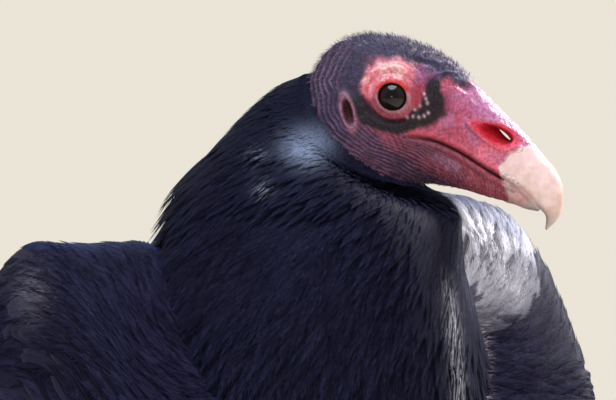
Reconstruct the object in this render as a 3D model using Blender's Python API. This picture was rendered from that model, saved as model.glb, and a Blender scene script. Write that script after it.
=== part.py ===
"""A turkey vulture, life size, standing still with its head turned to its left.

Lengths are millimetres and angles are degrees in the tables below; the meshes are in metres. The bird
stands on the floor z = 0 and faces -Y, its left is +X, and its head looks towards +X. The trunk, neck and
head are lofts through rings. A ring is given by the point on the bird's back and the point on its belly, so
each table reads as the side outline of the body. The wings and tail are thin sheets in tiers, laid over the
trunk as the feathers are.
"""

import math

import bmesh
import bpy
import numpy as np
from mathutils import Vector

MM = 0.001
GAP = 0.35  # left between neighbouring solids
ORIGIN = (0, 130.2, 0)  # the point of these axes that the model's own origin lies at

# --- driving sizes --------------------------------------------------------------------------------
HEAD_AT = (22.0, -77.5, 362.0)  # the point midway between the eyes
HEAD_TURN = -41.0  # heading of the bill: 0 is +X, -90 is straight ahead of the body
HEAD_DROP = -27.0  # pitch of the bill below level
EYE_RADIUS = 7.2
EYE_AT = (-0.9, 11.4, 0.6)  # forward, to the side and up, in the head's own axes
TAIL_LENGTH = 268.0
TARSUS_RADIUS = 4.8
FOOT_AT = (37.0, 26.0)  # the left foot's ball, from the middle of the body
BALL_RADIUS = 12.5

# --- rings of the trunk and neck ------------------------------------------------------------------
# back point x, y, z; belly point x, y, z; heading; height of the widest level (0 belly, 1 back);
# half width; squareness of the upper and the lower half (2 is an ellipse); how far the ring's sides hang
# back from its plane
BODY_RINGS = [
    (0, 157, 183, 0, 140, 160, -90, 0.50, 24, 2.0, 2.0, 0),  # tail root
    (0, 130, 214, 0, 104, 140, -90, 0.50, 46, 2.1, 2.1, 0),  # rump
    (0, 93, 253, 0, 48, 127, -90, 0.50, 64, 2.2, 2.2, 0),
    (0, 50, 287, 0, -20, 132, -90, 0.50, 73, 2.2, 2.2, 0),  # loins
    (0, 10, 311, 0, -76, 163, -90, 0.52, 73, 2.2, 2.2, 0),  # chest
    (0, -14, 323, 0, -110, 212, -88, 0.54, 65, 2.2, 2.1, 0),  # shoulders
    (-2, -18, 338, 2, -121, 258, -83, 0.52, 57, 2.1, 2.0, 0),  # base of the neck
    (-6, -27, 355, 16, -117, 294, -68, 0.50, 51, 2.0, 2.0, 2),
    (-8, -41, 366, 34, -103, 323, -52, 0.50, 43, 2.0, 2.0, 7),  # ruff
]
COLLAR = 1.14  # the neck's last ring is this much larger than the head's first
TRUNK_END = 5.5  # ring number where the trunk meets the neck

# --- rings of the head, in its own axes with the bill level ---------------------------------------
# crown point forward, up; throat point forward, up; then as above from the widest level on
HEAD_RINGS = [
    (-29.5, -8.0, 21.0, -21.0, 0.50, 20.5, 2.0, 2.0, 10),  # in the collar
    (-28.8, 3.2, 21.5, -20.9, 0.52, 19.4, 2.0, 2.1, 7),
    (-22.4, 13.0, 22.0, -20.8, 0.54, 17.8, 2.0, 2.1, 4),  # back of the skull
    (-11.2, 18.5, 22.6, -20.6, 0.54, 16.2, 2.1, 2.1, 1),
    (1.5, 20.3, 23.4, -20.3, 0.54, 14.0, 2.2, 2.1, 0),  # over the eyes
    (13.0, 19.2, 25.0, -19.8, 0.52, 12.0, 2.2, 2.1, 0),
    (24.5, 16.2, 29.0, -18.6, 0.50, 10.4, 2.1, 2.2, 0),
    (35.0, 12.8, 36.0, -16.8, 0.50, 9.2, 2.1, 2.3, 0),  # at the nostrils
    (44.5, 9.6, 42.5, -15.8, 0.52, 7.7, 2.1, 2.3, 0),
    (49.5, 7.4, 45.0, -15.2, 0.54, 7.0, 2.1, 2.2, 0),  # where the horn of the bill begins
]
# the mouth, from the corner of the gape to the bill's base: forward, up
MOUTH = [
    (7.0, -12.6), (11.0, -9.4), (16.0, -7.3), (22.0, -6.2), (30.0, -6.2), (38.0, -7.1), (48.0, -7.8),
    (56.0, -7.8),
]
THROAT = [(60.0, -40.0), (-4.0, -40.0)]  # closes the jaw's outline well below the head
# the hooked upper bill: culmen point, cutting edge point, then as the head's rings
UPPER_BILL_RINGS = [
    (50.0, 7.2, 45.4, -6.8, 0.36, 6.9, 2.2, 5.0, 0),
    (54.6, 5.3, 50.0, -6.3, 0.36, 6.6, 2.2, 4.0, 0),
    (60.0, 2.9, 54.0, -6.6, 0.36, 5.9, 2.2, 3.4, 0),
    (64.6, -1.0, 57.6, -7.9, 0.40, 4.9, 2.1, 3.0, 0),
    (67.2, -6.0, 61.6, -9.7, 0.42, 3.8, 2.0, 2.6, 0),
    (68.0, -11.4, 64.2, -12.2, 0.44, 2.2, 2.0, 2.2, 0),
    (66.4, -16.6, 65.6, -16.4, 0.50, 0.5, 2.0, 2.0, 0),  # tip of the hook
]
LOWER_BILL_RINGS = [
    (46.0, -4.0, 45.8, -15.1, 0.50, 5.9, 4.0, 2.3, 0),
    (53.0, -4.5, 52.0, -13.9, 0.50, 5.0, 4.0, 2.3, 0),
    (58.0, -6.5, 57.0, -13.3, 0.50, 4.0, 3.0, 2.2, 0),
    (61.4, -10.2, 60.8, -12.2, 0.50, 1.6, 2.0, 2.0, 0),
]
NOSTRIL_AT, NOSTRIL_LENGTH, NOSTRIL_HEIGHT = (35.2, 5.4), 11.5, 4.6
EAR_AT, EAR_SIZE = (-12.2, 18.6, -11.8), (2.2, 3.2, 4.6)

# --- rings of the shell that both folded wings lie on, as for the body ----------------------------
WING_RINGS = [
    (0, -80, 284, 0, -114, 232, -90, 0.55, 82, 2.8, 2.2, 0),  # front edge
    (0, -52, 311, 0, -120, 211, -90, 0.50, 97, 5.0, 2.3, 0),
    (0, -14, 314, 0, -104, 186, -90, 0.50, 103, 7.0, 2.3, 0),  # wrists
    (0, 34, 298, 0, -66, 151, -90, 0.50, 114, 3.4, 2.3, 0),
    (0, 97, 260, 0, 4, 123, -90, 0.50, 114, 2.3, 2.2, 0),
    (0, 162, 210, 0, 90, 98, -90, 0.50, 94, 2.2, 2.1, 0),
    (0, 231, 158, 0, 182, 80, -90, 0.48, 69, 2.1, 2.0, 0),
    (0, 307, 112, 0, 278, 62, -90, 0.45, 46, 2.0, 2.0, 0),
    (0, 388, 66, 0, 374, 42, -90, 0.40, 28, 2.0, 2.0, 0),  # wing tips
]
# upper and lower edge of a wing at each of those rings, as ring angles: 90 is the back, 0 the side
UPPER_EDGE = [46, 66, 77, 82, 84, 86, 87, 87, 87]
LOWER_EDGE = [-50, -58, -58, -46, -34, -22, -6, 8, 20]
LEFT_WING_SHIFT = (-5.0, -7.0, 5.0)  # the left wing is held a little higher and further forward
ARM_END = 2.9  # ring number where the flesh of the wing ends and only feathers go on
SHEET = 3.0  # thickness of a tier of feathers


# --- curves and surfaces --------------------------------------------------------------------------
def smooth(rows, t):
    """The rows read at fractional row numbers t, on a cubic whose slope at a row is its two steps' mean."""
    rows = np.asarray(rows, float)
    slopes = np.gradient(rows, axis=0)
    t = np.clip(np.asarray(t, float), 0, len(rows) - 1)
    low = np.minimum(t.astype(int), len(rows) - 2)
    f = (t - low)[..., None]
    rise, ease = f * f * (3 - 2 * f), f * (1 - f)
    return (
        rows[low] * (1 - rise)
        + rows[low + 1] * rise
        + slopes[low] * ease * (1 - f)
        - slopes[low + 1] * ease * f
    )


def ring_centre(k):
    """The middle of the widest level, from rows read by smooth."""
    return k[..., 3:6] + k[..., 7:8] * (k[..., 0:3] - k[..., 3:6])


def on_rings(rows, t, turn):
    """Points at ring number t and ring angle turn: 0 is the left side, 90 the back and 180 the right."""
    k = smooth(rows, t)
    back, belly, heading = k[..., 0:3], k[..., 3:6], np.radians(k[..., 6:7])
    half, above, below, hang = k[..., 8:9], k[..., 9:10], k[..., 10:11], k[..., 11:12]
    centre = ring_centre(k)
    left = np.concatenate([-np.sin(heading), np.cos(heading), 0 * heading], axis=-1)
    angle = np.radians(np.asarray(turn, float))[..., None]
    cos, sin = np.cos(angle), np.sin(angle)
    power = 2 / np.where(sin > 0, above, below)
    across = np.sign(cos) * np.abs(cos) ** power
    rise = np.abs(sin) ** power * np.where(sin > 0, 1, 0)
    fall = np.abs(sin) ** power * np.where(sin > 0, 0, 1)
    hanging = unit(np.cross(back - belly, left)) * hang * np.abs(across) ** 1.5
    return centre + left * half * across + (back - centre) * rise + (belly - centre) * fall + hanging


def unit(vectors):
    return vectors / np.maximum(np.linalg.norm(vectors, axis=-1, keepdims=True), 1e-9)


def below_surface(rows, t, turn, depth):
    """Points depth under the rings' surface, moved towards the ring's middle so that they can't cross."""
    step = 0.02
    along = on_rings(rows, t + step, turn) - on_rings(rows, t - step, turn)
    around = on_rings(rows, t, turn + 1) - on_rings(rows, t, turn - 1)
    point = on_rings(rows, t, turn)
    inward = unit(ring_centre(smooth(rows, t)) - point)
    cosine = np.abs((inward * unit(np.cross(along, around))).sum(axis=-1))
    return point + inward * (depth / np.maximum(cosine, 0.5))[..., None]


def head_axes():
    """Unit vectors of the head: forward along the bill, to its left, and up."""
    heading, pitch = math.radians(HEAD_TURN), math.radians(HEAD_DROP)
    flat = np.array([math.cos(heading), math.sin(heading), 0])
    up = np.array([0, 0, 1.0])
    forward = flat * math.cos(pitch) + up * math.sin(pitch)
    return forward, np.cross(up, flat), up * math.cos(pitch) - flat * math.sin(pitch)


def in_head(points):
    """Points given forward, to the left and up in the head's axes, moved to the body's."""
    return np.asarray(HEAD_AT) + np.asarray(points, float) @ np.array(head_axes())


def head_rows(rows):
    """Rows of the head's tables as rows for on_rings."""
    made = []
    for crown_x, crown_z, throat_x, throat_z, *section in rows:
        crown, throat = in_head([(crown_x, 0, crown_z), (throat_x, 0, throat_z)])
        made.append((*crown, *throat, HEAD_TURN, *section))
    return made


def body_rows():
    """The rings of trunk and neck, ending in a collar: the head's first ring, larger and a gap behind."""
    collar = np.array(head_rows(HEAD_RINGS[:1])[0])
    crown, throat, centre = collar[:3], collar[3:6], ring_centre(collar)
    away = unit(np.cross(crown - throat, head_axes()[1])) * GAP
    collar[:3] = centre + (crown - centre) * COLLAR + away
    collar[3:6] = centre + (throat - centre) * COLLAR + away
    collar[[8, 11]] *= COLLAR
    return [*BODY_RINGS, tuple(collar)]


# --- meshes ---------------------------------------------------------------------------------------
def to_metres(points):
    return (np.asarray(points, float) - ORIGIN) * MM


def make_object(name, bm, material, collection="vulture"):
    """An object with the mesh in bm, in triangles: a cut through a quad that isn't flat leaves slivers."""
    bmesh.ops.recalc_face_normals(bm, faces=bm.faces)
    bmesh.ops.triangulate(bm, faces=bm.faces)
    mesh = bpy.data.meshes.new(name)
    bm.to_mesh(mesh)
    bm.free()
    mesh.shade_smooth()
    mesh.set_sharp_from_angle(angle=math.radians(50))
    mesh.materials.append(material)
    obj = bpy.data.objects.new(name, mesh)
    bpy.data.collections[collection].objects.link(obj)
    return obj


def grid_faces(bm, verts, closed):
    """Quads between the rows of verts. A closed grid joins its last column to its first."""
    for near, far in zip(verts[:-1], verts[1:]):
        for j in range(len(near) - (0 if closed else 1)):
            k = (j + 1) % len(near)
            bm.faces.new((near[j], near[k], far[k], far[j]))


def tube(name, grid, material, collection="vulture"):
    """A closed solid whose sections are the grid's rows, in millimetres, with a fan at each end."""
    bm = bmesh.new()
    verts = [[bm.verts.new(to_metres(p)) for p in row] for row in grid]
    grid_faces(bm, verts, closed=True)
    for end, rim in ((grid[0], verts[0]), (grid[-1], verts[-1])):
        middle = bm.verts.new(to_metres(np.mean(end, axis=0)))
        for near, far in zip(rim, rim[1:] + rim[:1]):
            bm.faces.new((middle, near, far))
    return make_object(name, bm, material, collection)


def plate(name, outer, inner, material):
    """A closed solid between two grids of the same shape, joined all round the rim."""
    bm = bmesh.new()
    sides = [[[bm.verts.new(to_metres(p)) for p in row] for row in grid] for grid in (outer, inner)]
    for verts in sides:
        grid_faces(bm, verts, closed=False)
    rims = [
        v[0] + [row[-1] for row in v[1:]] + v[-1][-2::-1] + [row[0] for row in v[-2:0:-1]]
        for v in sides
    ]
    grid_faces(bm, rims, closed=True)
    return make_object(name, bm, material)


def loft(name, rows, stops, n_around, material, collection="vulture"):
    """A solid through the rings, with a section at each of the ring numbers in stops."""
    t, turn = np.meshgrid(stops, np.arange(n_around) * 360 / n_around, indexing="ij")
    return tube(name, on_rings(rows, t, turn), material, collection)


def prism(name, outline, half_depth):
    """A cutter in the head's axes: an outline of forward and up, reaching half_depth to each side."""
    sides = [in_head([(x, y, z) for x, z in outline]) for y in (-half_depth, half_depth)]
    return tube(name, sides, bpy.data.materials["skin"], "cutters")


def ellipsoid(name, centre, radii, material, collection="vulture", segments=14, rings=8, axes=None):
    """A sphere stretched to its three radii along the axes, which are the body's unless others are given."""
    bm = bmesh.new()
    bmesh.ops.create_uvsphere(bm, u_segments=segments, v_segments=rings, radius=1)
    frame = np.eye(3) if axes is None else np.asarray(axes)
    for vert in bm.verts:
        vert.co = Vector(to_metres(np.asarray(centre) + (np.array(vert.co) * radii) @ frame))
    return make_object(name, bm, material, collection)


def hide_as_cutter(obj):
    obj.hide_render = True
    obj.display_type = "WIRE"
    return obj


def swollen(obj, by=GAP):
    """A cutter with the shape of obj, grown by a small gap, so that what it cuts fits against obj."""
    copy = obj.copy()
    copy.name = f"around_{obj.name}"
    for collection in copy.users_collection:
        collection.objects.unlink(copy)
    bpy.data.collections["cutters"].objects.link(copy)
    grow = copy.modifiers.new("grow", "DISPLACE")
    grow.direction = "NORMAL"
    grow.mid_level = 0
    grow.strength = by * MM
    return hide_as_cutter(copy)


def combine(obj, other, operation="DIFFERENCE"):
    change = obj.modifiers.new(f"{operation.lower()}_{other.name}", "BOOLEAN")
    change.object = other
    change.operation = operation
    return obj


def mirrored(grid):
    return np.asarray(grid)[..., ::-1, :] * (-1, 1, 1)


# --- head -----------------------------------------------------------------------------------------
def make_eyes(material):
    eyes = []
    for side, name in ((1, "eye_l"), (-1, "eye_r")):
        forward, aside, up = EYE_AT
        centre = in_head([(forward, side * aside, up)])[0]
        eyes.append(ellipsoid(name, centre, [EYE_RADIUS] * 3, material))
    return eyes


def make_head(skin, eyes):
    """The whole bare head is one loft. It is parted along the mouth, and down the throat from the gape."""
    jaw_outline = MOUTH + THROAT
    below_mouth = hide_as_cutter(prism("below_mouth", jaw_outline, 40))
    jaw_room = hide_as_cutter(prism("jaw_room", [(x + GAP, z - GAP) for x, z in jaw_outline], 40))
    rows = head_rows(HEAD_RINGS)
    stops = np.linspace(0, len(rows) - 1, 16)
    head, jaw = loft("head", rows, stops, 24, skin), loft("jaw", rows, stops, 24, skin)
    combine(jaw, jaw_room, "INTERSECT")
    combine(head, below_mouth)
    for eye in eyes:
        combine(head, swollen(eye))
    combine(head, hide_as_cutter(prism("nostril", nostril_outline(), 20)))
    for side, name in ((1, "ear_hole_l"), (-1, "ear_hole_r")):
        centre = in_head([(EAR_AT[0], side * EAR_AT[1], EAR_AT[2])])[0]
        hole = ellipsoid(name, centre, EAR_SIZE, skin, "cutters", 8, 6, head_axes())
        combine(head, hide_as_cutter(hole))
    return head, jaw


def nostril_outline():
    """A slot with round ends, which goes right through the bill: forward and up in the head's axes."""
    radius = NOSTRIL_HEIGHT / 2
    half = NOSTRIL_LENGTH / 2 - radius
    outline = []
    for end, first in ((1, -90), (-1, 90)):
        for angle in np.radians(first + np.arange(0, 181, 36)):
            along = end * half + radius * math.cos(angle)
            outline.append((NOSTRIL_AT[0] + along, NOSTRIL_AT[1] + radius * math.sin(angle)))
    return outline


def make_bill(horn, head, jaw):
    upper = loft("bill_upper", head_rows(UPPER_BILL_RINGS), np.linspace(0, 6, 12), 14, horn)
    lower = loft("bill_lower", head_rows(LOWER_BILL_RINGS), np.linspace(0, 3, 7), 12, horn)
    for other in (head, jaw):
        combine(upper, swollen(other))
        combine(lower, swollen(other))
    combine(lower, swollen(upper))
    return upper, lower


# --- wings and tail -------------------------------------------------------------------------------
def lobes(n_lobes, per_lobe):
    """Columns across a fan of n_lobes feathers: which feather, and the place across it from -1 to 1."""
    place = np.linspace(0, n_lobes, n_lobes * per_lobe + 1)
    feather = np.minimum(place.astype(int), n_lobes - 1)
    return place / n_lobes, feather, 2 * (place - feather) - 1


def tier(name, side, rows, ends, n_beyond, depth, thickness, material, tip=0.16, step=0.9):
    """One tier of a folded wing: a sheet on the wings' shell that ends in a row of rounded feather tips.

    rows lists the ring numbers that every feather passes, and ends where each feather ends, from the upper
    edge to the lower, with n_beyond rows between. depth and thickness are functions of the ring number and of
    the place across, from 0 at the upper edge to 1 at the lower.
    """
    across, feather, place = lobes(len(ends), 2)
    last = np.asarray(ends)[feather] - tip * place**2
    beyond = rows[-1] + (last - rows[-1]) * np.linspace(0, 1, n_beyond + 1)[1:, None]
    t = np.concatenate([np.repeat(np.asarray(rows)[:, None], len(across), axis=1), beyond])
    upper = smooth(np.array(UPPER_EDGE)[:, None], t)[..., 0]
    lower = smooth(np.array(LOWER_EDGE)[:, None], t)[..., 0]
    turn = upper + (lower - upper) * across
    outer_depth = depth(t, across) + step * (1 + place) / 2
    outer = below_surface(WING_RINGS, t, turn, outer_depth)
    inner = below_surface(WING_RINGS, t, turn, outer_depth + thickness(t, across))
    if side == "l":
        shift = np.array(LEFT_WING_SHIFT) * (1 - eased(t, 1, 6))[..., None]
        outer, inner = outer + shift, inner + shift
    else:
        outer, inner = mirrored(outer), mirrored(inner)
    return plate(f"wing_{side}_{name}", outer, inner, material)


def eased(value, low, high):
    """0 below low, 1 above high, and a smooth rise between them."""
    f = np.clip((value - low) / (high - low), 0, 1)
    return f * f * (3 - 2 * f)


def make_wing(side, material, body_room):
    """Three tiers, each under the one before: the arm with its coverts, the secondaries, and the primaries."""
    under_coverts = SHEET + 1.8
    under_seconds = under_coverts + SHEET + 1.8

    def arm_thickness(t, across):
        return SHEET + (1 - eased(t, ARM_END - 0.5, ARM_END)) * (26 - 12 * across)

    coverts = tier(
        "coverts", side, [0, 0.5, 1.1, 1.8, 2.4, ARM_END], np.linspace(4.4, 3.4, 6), 3,
        lambda t, a: 0 * t, arm_thickness, material,
    )
    secondaries = tier(
        "secondaries", side, [ARM_END + 0.05, 3.5], np.linspace(6.4, 5.2, 6), 3,
        lambda t, a: under_coverts + 0 * t, lambda t, a: SHEET + 0 * t, material,
    )
    primaries = tier(
        "primaries", side, [ARM_END + 0.05, 3.5, 4.2], [6.9, 7.3, 7.6, 7.85, 8.0, 7.8], 5,
        lambda t, a: under_seconds + 0 * t, lambda t, a: SHEET + 0 * t, material,
    )
    for piece in (coverts, secondaries, primaries):
        combine(piece, body_room)


def make_tail(material, body_room):
    """Feathers in a closed fan, widest near its rounded end, highest along the middle."""
    root, slope = np.array([0, 136.0, 170.0]), math.radians(-30)
    across, feather, place = lobes(10, 2)
    v = 2 * across - 1
    length = TAIL_LENGTH * (1 - 0.10 * v**2) - 3.5 * place**2
    u = np.linspace(0, 1, 5)[:, None]
    half = 15 + 30 * eased(u, 0, 0.95)
    arch = 8 * v**2 * (0.4 + 0.6 * u)
    shingle = 0.35 * np.abs(feather - 4.5)
    drop = root[2] + u * length * math.sin(slope) - arch + shingle
    outer = np.stack([v * half, root[1] + u * length * math.cos(slope), drop], axis=-1)
    inner = outer - np.array([0, 0, 1.0]) * (5 - 2 * u[..., None])
    return combine(plate("tail", outer, inner, material), body_room)


# --- legs -----------------------------------------------------------------------------------------
def limb(name, stations, n_around, n_along, material, flat_at=None):
    """A tube through stations of x, y, z and the radii across and along the stride.

    flat_at levels its underside.
    """
    rows = np.asarray(stations, float)
    k = smooth(rows, np.linspace(0, len(rows) - 1, n_along))
    path, radius = k[:, :3], k[:, 3:5]
    forward = np.gradient(path, axis=0)
    forward /= np.linalg.norm(forward, axis=1, keepdims=True)
    upright = (np.abs(forward[:, 2]) > 0.6).all()
    aside = np.cross(forward, (0, -1.0, 0) if upright else (0, 0, 1.0))
    aside /= np.linalg.norm(aside, axis=1, keepdims=True)
    other = np.cross(aside, forward)
    angle = np.radians(np.arange(n_around) * 360 / n_around)[None, :, None]
    grid = (
        path[:, None]
        + aside[:, None] * np.cos(angle) * radius[:, None, :1]
        + other[:, None] * np.sin(angle) * radius[:, None, 1:]
    )
    if flat_at is not None:
        grid[..., 2] = np.maximum(grid[..., 2], flat_at)
    return tube(name, grid, material)


def make_leg(side, feather, scale, claw, body_room):
    s = 1 if side == "l" else -1
    x, y = FOOT_AT[0] * s, FOOT_AT[1]
    heel = (x, y + 20, 66)
    thigh = limb(
        f"thigh_{side}",
        [(40 * s, y - 12, 190, 30, 42), (42 * s, y - 6, 150, 29, 38), (41 * s, y + 6, 112, 22, 27),
         (x + 1 * s, y + 16, 82, 13, 15), (heel[0], heel[1], heel[2] + 3, 8, 8.5)],
        12, 8, feather,
    )
    combine(thigh, body_room)
    radii = (BALL_RADIUS - 1, BALL_RADIUS, 7.5)
    ball = ellipsoid(f"foot_{side}", (x, y, 6.4), radii, scale, segments=12, rings=6)
    level_underside(ball)
    shank = limb(
        f"shank_{side}",
        [(heel[0], heel[1] + 0.5, heel[2] + 8, 6.5, 7), (heel[0], heel[1], heel[2] - 4, 6.8, 7.6),
         (x, y + 15, 50, TARSUS_RADIUS, TARSUS_RADIUS + 0.6),
         (x, y + 6, 24, TARSUS_RADIUS, TARSUS_RADIUS + 0.4),
         (x, y + 1, 9, 6.4, 6.2)],
        9, 8, scale,
    )
    combine(shank, swollen(thigh, 0.5))
    combine(shank, swollen(ball))
    # number, heading from straight ahead, length, root radius
    toes = [(1, 180 - 14 * s, 28, 3.7), (2, -36 * s, 42, 3.9), (3, 1 * s, 64, 4.4), (4, 38 * s, 45, 3.9)]
    for number, heading, length, radius in toes:
        make_toe(side, number, (x, y), heading, length, radius, scale, claw)


def level_underside(obj):
    """Sets every point of obj that is under the floor on it, so that it stands on a flat."""
    for vert in obj.data.vertices:
        vert.co.z = max(vert.co.z, 0)


def make_toe(side, number, ball_at, heading, length, radius, scale, claw):
    """A toe with three pads lying on the floor, and its curved claw."""
    a = math.radians(heading)
    ahead = np.array([math.sin(a), -math.cos(a), 0])
    start = np.array([*ball_at, 0])
    u = np.linspace((BALL_RADIUS + 1) / length, 1, 6)
    pads = 1 + 0.10 * np.cos(u * 3 * 2 * math.pi)
    taper = radius * (1 - 0.3 * u) * pads
    sink = 0.82  # the pads' flats: the toe's centre lies this share of its radius above the floor
    stations = [(*(start + ahead * length * v + (0, 0, r * sink)), r, r) for v, r in zip(u, taper)]
    limb(f"toe_{side}_{number}", stations, 7, 6, scale, flat_at=0)
    base, r = start + ahead * (length + GAP), taper[-1]
    claw_length = 9 + length * 0.10
    arc = []
    for f in np.linspace(0, 1, 5):
        point = base + ahead * claw_length * f + (0, 0, r * sink + 1.6 * f - 2.6 * f * f)
        narrow = max(r * 0.85 * (1 - f), 0.35)
        arc.append((*point, narrow, narrow))
    limb(f"claw_{side}_{number}", arc, 6, 5, claw, flat_at=0)


# --- the whole bird -------------------------------------------------------------------------------
def clear_scene():
    for obj in list(bpy.data.objects):
        bpy.data.objects.remove(obj)
    for name in ("vulture", "cutters"):
        collection = bpy.data.collections.new(name)
        bpy.context.scene.collection.children.link(collection)


def make_material(name, colour, roughness, metallic=0.0):
    material = bpy.data.materials.new(name)
    material.use_nodes = True
    shader = material.node_tree.nodes["Principled BSDF"]
    shader.inputs["Base Color"].default_value = (*colour, 1)
    shader.inputs["Roughness"].default_value = roughness
    shader.inputs["Metallic"].default_value = metallic
    material.diffuse_color = (*colour, 1)
    return material


def main():
    clear_scene()
    plumage = make_material("plumage", (0.022, 0.021, 0.030), 0.55)
    flight = make_material("flight_feather", (0.035, 0.027, 0.028), 0.5)
    skin = make_material("skin", (0.42, 0.10, 0.13), 0.5)
    horn = make_material("bill_horn", (0.83, 0.72, 0.63), 0.35)
    eye = make_material("eye", (0.03, 0.02, 0.015), 0.05)
    scale = make_material("leg_skin", (0.50, 0.36, 0.33), 0.6)
    claw = make_material("claw_horn", (0.04, 0.035, 0.035), 0.4)

    body = body_rows()
    trunk_stops = np.linspace(0, TRUNK_END, 13)
    neck_stops = np.linspace(TRUNK_END + 0.015, len(body) - 1, 9)
    loft("trunk", body, trunk_stops, 26, plumage)
    loft("neck", body, neck_stops, 26, plumage)
    whole = hide_as_cutter(loft("trunk_and_neck", body, [*trunk_stops, *neck_stops], 26, plumage, "cutters"))
    body_room = swollen(whole)
    eyes = make_eyes(eye)
    head, jaw = make_head(skin, eyes)
    make_bill(horn, head, jaw)
    make_tail(flight, body_room)
    for side in ("l", "r"):
        make_wing(side, flight, body_room)
        make_leg(side, plumage, scale, claw, body_room)


main()
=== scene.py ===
# %% [markdown]
# # A turkey vulture, feather by feather
# The bird stands still with its head turned to its left. A measured frame of plain solids says where every
# part is and how big it is. This lesson dresses that frame: one skin with its folds, then eyes, horn and
# claws, then the plumage, from the stiff wing feathers down to the bristles of the crown.

# %% Frame
import math

import bpy
import numpy as np
from mathutils import Matrix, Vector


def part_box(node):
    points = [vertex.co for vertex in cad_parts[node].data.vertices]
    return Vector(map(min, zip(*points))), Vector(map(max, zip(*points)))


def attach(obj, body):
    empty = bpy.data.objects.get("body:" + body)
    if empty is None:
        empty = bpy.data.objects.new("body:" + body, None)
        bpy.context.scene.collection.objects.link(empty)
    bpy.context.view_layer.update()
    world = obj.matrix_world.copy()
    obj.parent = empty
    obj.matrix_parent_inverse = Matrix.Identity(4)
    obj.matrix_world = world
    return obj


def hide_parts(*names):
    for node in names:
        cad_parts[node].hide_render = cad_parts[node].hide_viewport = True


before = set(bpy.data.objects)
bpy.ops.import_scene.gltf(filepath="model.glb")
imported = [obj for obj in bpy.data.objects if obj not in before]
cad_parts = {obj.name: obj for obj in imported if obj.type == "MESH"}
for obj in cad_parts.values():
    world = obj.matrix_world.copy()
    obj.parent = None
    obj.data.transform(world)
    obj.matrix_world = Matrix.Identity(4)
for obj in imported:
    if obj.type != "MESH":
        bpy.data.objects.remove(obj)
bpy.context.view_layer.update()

# %% [markdown]
# ## Units and anchors
# A bird is easiest to think about in millimetres. The solids were drawn about a point on the floor under the
# shoulders, so the same tables can be used here once that point is found. The ball of the left foot gives it.
# The two eyes give the head's middle and the way it is turned; only the droop of the bill is stated.

# %% Anchors
MM = 0.001
UP = np.array([0, 0, 1.0])
FOOT_AT = (37.0, 26.0)  # the left foot's ball in the drawing's own axes
EYE_RADIUS = 7.2
EYE_AT = (0.4, 11.4, 0.6)  # an eye in the head's axes: forward, to the side, up
HEAD_DROP = -27.0  # degrees the bill points below level
SIDES = ((1, "l"), (-1, "r"))  # the bird's left and right


def box_mm(node):
    """The lowest and highest corner of a solid, in millimetres of the frame."""
    low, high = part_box(node)
    return np.array(low) / MM, np.array(high) / MM


SHIFT = sum(box_mm("foot_l")) / 2 * (1, 1, 0) - (*FOOT_AT, 0)


def place(points):
    """Points of the drawing, in millimetres, as metres in the frame."""
    return (np.asarray(points, float) + SHIFT) * MM


EYE_LEFT, EYE_RIGHT = (sum(box_mm(f"eye_{side}")) / 2 - SHIFT for side in "lr")
LEFT = (EYE_LEFT - EYE_RIGHT) / np.linalg.norm(EYE_LEFT - EYE_RIGHT)
LEVEL = np.cross(LEFT, UP)
DROP = math.radians(HEAD_DROP)
HEAD_AXES = np.array([
    LEVEL * math.cos(DROP) + UP * math.sin(DROP), LEFT, UP * math.cos(DROP) - LEVEL * math.sin(DROP)
])
HEAD_AT = (EYE_LEFT + EYE_RIGHT) / 2 - np.array([EYE_AT[0], 0, EYE_AT[2]]) @ HEAD_AXES
HEAD_TURN = math.degrees(math.atan2(LEVEL[1], LEVEL[0]))


def in_head(points):
    """Points given forward, left and up in the head's axes, as points of the drawing."""
    return HEAD_AT + np.asarray(points, float) @ HEAD_AXES


print("head at", HEAD_AT.round(1), "turned to", round(HEAD_TURN, 1), "degrees")

# %% [markdown]
# ## Tools for shapes
# Every shape below is a function of two numbers, worked out for a whole grid at once. A body is a row of
# rings. Each ring is known by its point on the back and its point on the belly, its half width and how square
# it is. Between rings the numbers run on a smooth cubic, so a handful of rings makes a whole neck.

# %% Numbers along a row


def smooth(rows, t):
    """Rows read at fractional row numbers t: a cubic whose slope at a row is the mean of its two steps."""
    rows = np.asarray(rows, float)
    slopes = np.gradient(rows, axis=0)
    t = np.clip(np.asarray(t, float), 0, len(rows) - 1)
    low = np.minimum(t.astype(int), len(rows) - 2)
    f = (t - low)[..., None]
    rise, ease = f * f * (3 - 2 * f), f * (1 - f)
    return (
        rows[low] * (1 - rise) + rows[low + 1] * rise + slopes[low] * ease * (1 - f)
        - slopes[low + 1] * ease * f
    )


def unit(vectors):
    """Each vector divided by its length."""
    return vectors / np.maximum(np.linalg.norm(vectors, axis=-1, keepdims=True), 1e-9)


def eased(value, low, high):
    """0 at low, 1 at high, with a smooth rise between them."""
    f = np.clip((value - low) / (high - low), 0, 1)
    return f * f * (3 - 2 * f)


# %% [markdown]
# A ring is read at an angle: its squareness says how far the ellipse swells towards a box. The same tables
# also give the surface's own directions, which everything that stands on the skin needs.

# %% Rings


def ring_centre(k):
    """The middle of a ring: a share of the way from its belly point to its back point."""
    return k[..., 3:6] + k[..., 7:8] * (k[..., 0:3] - k[..., 3:6])


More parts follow.
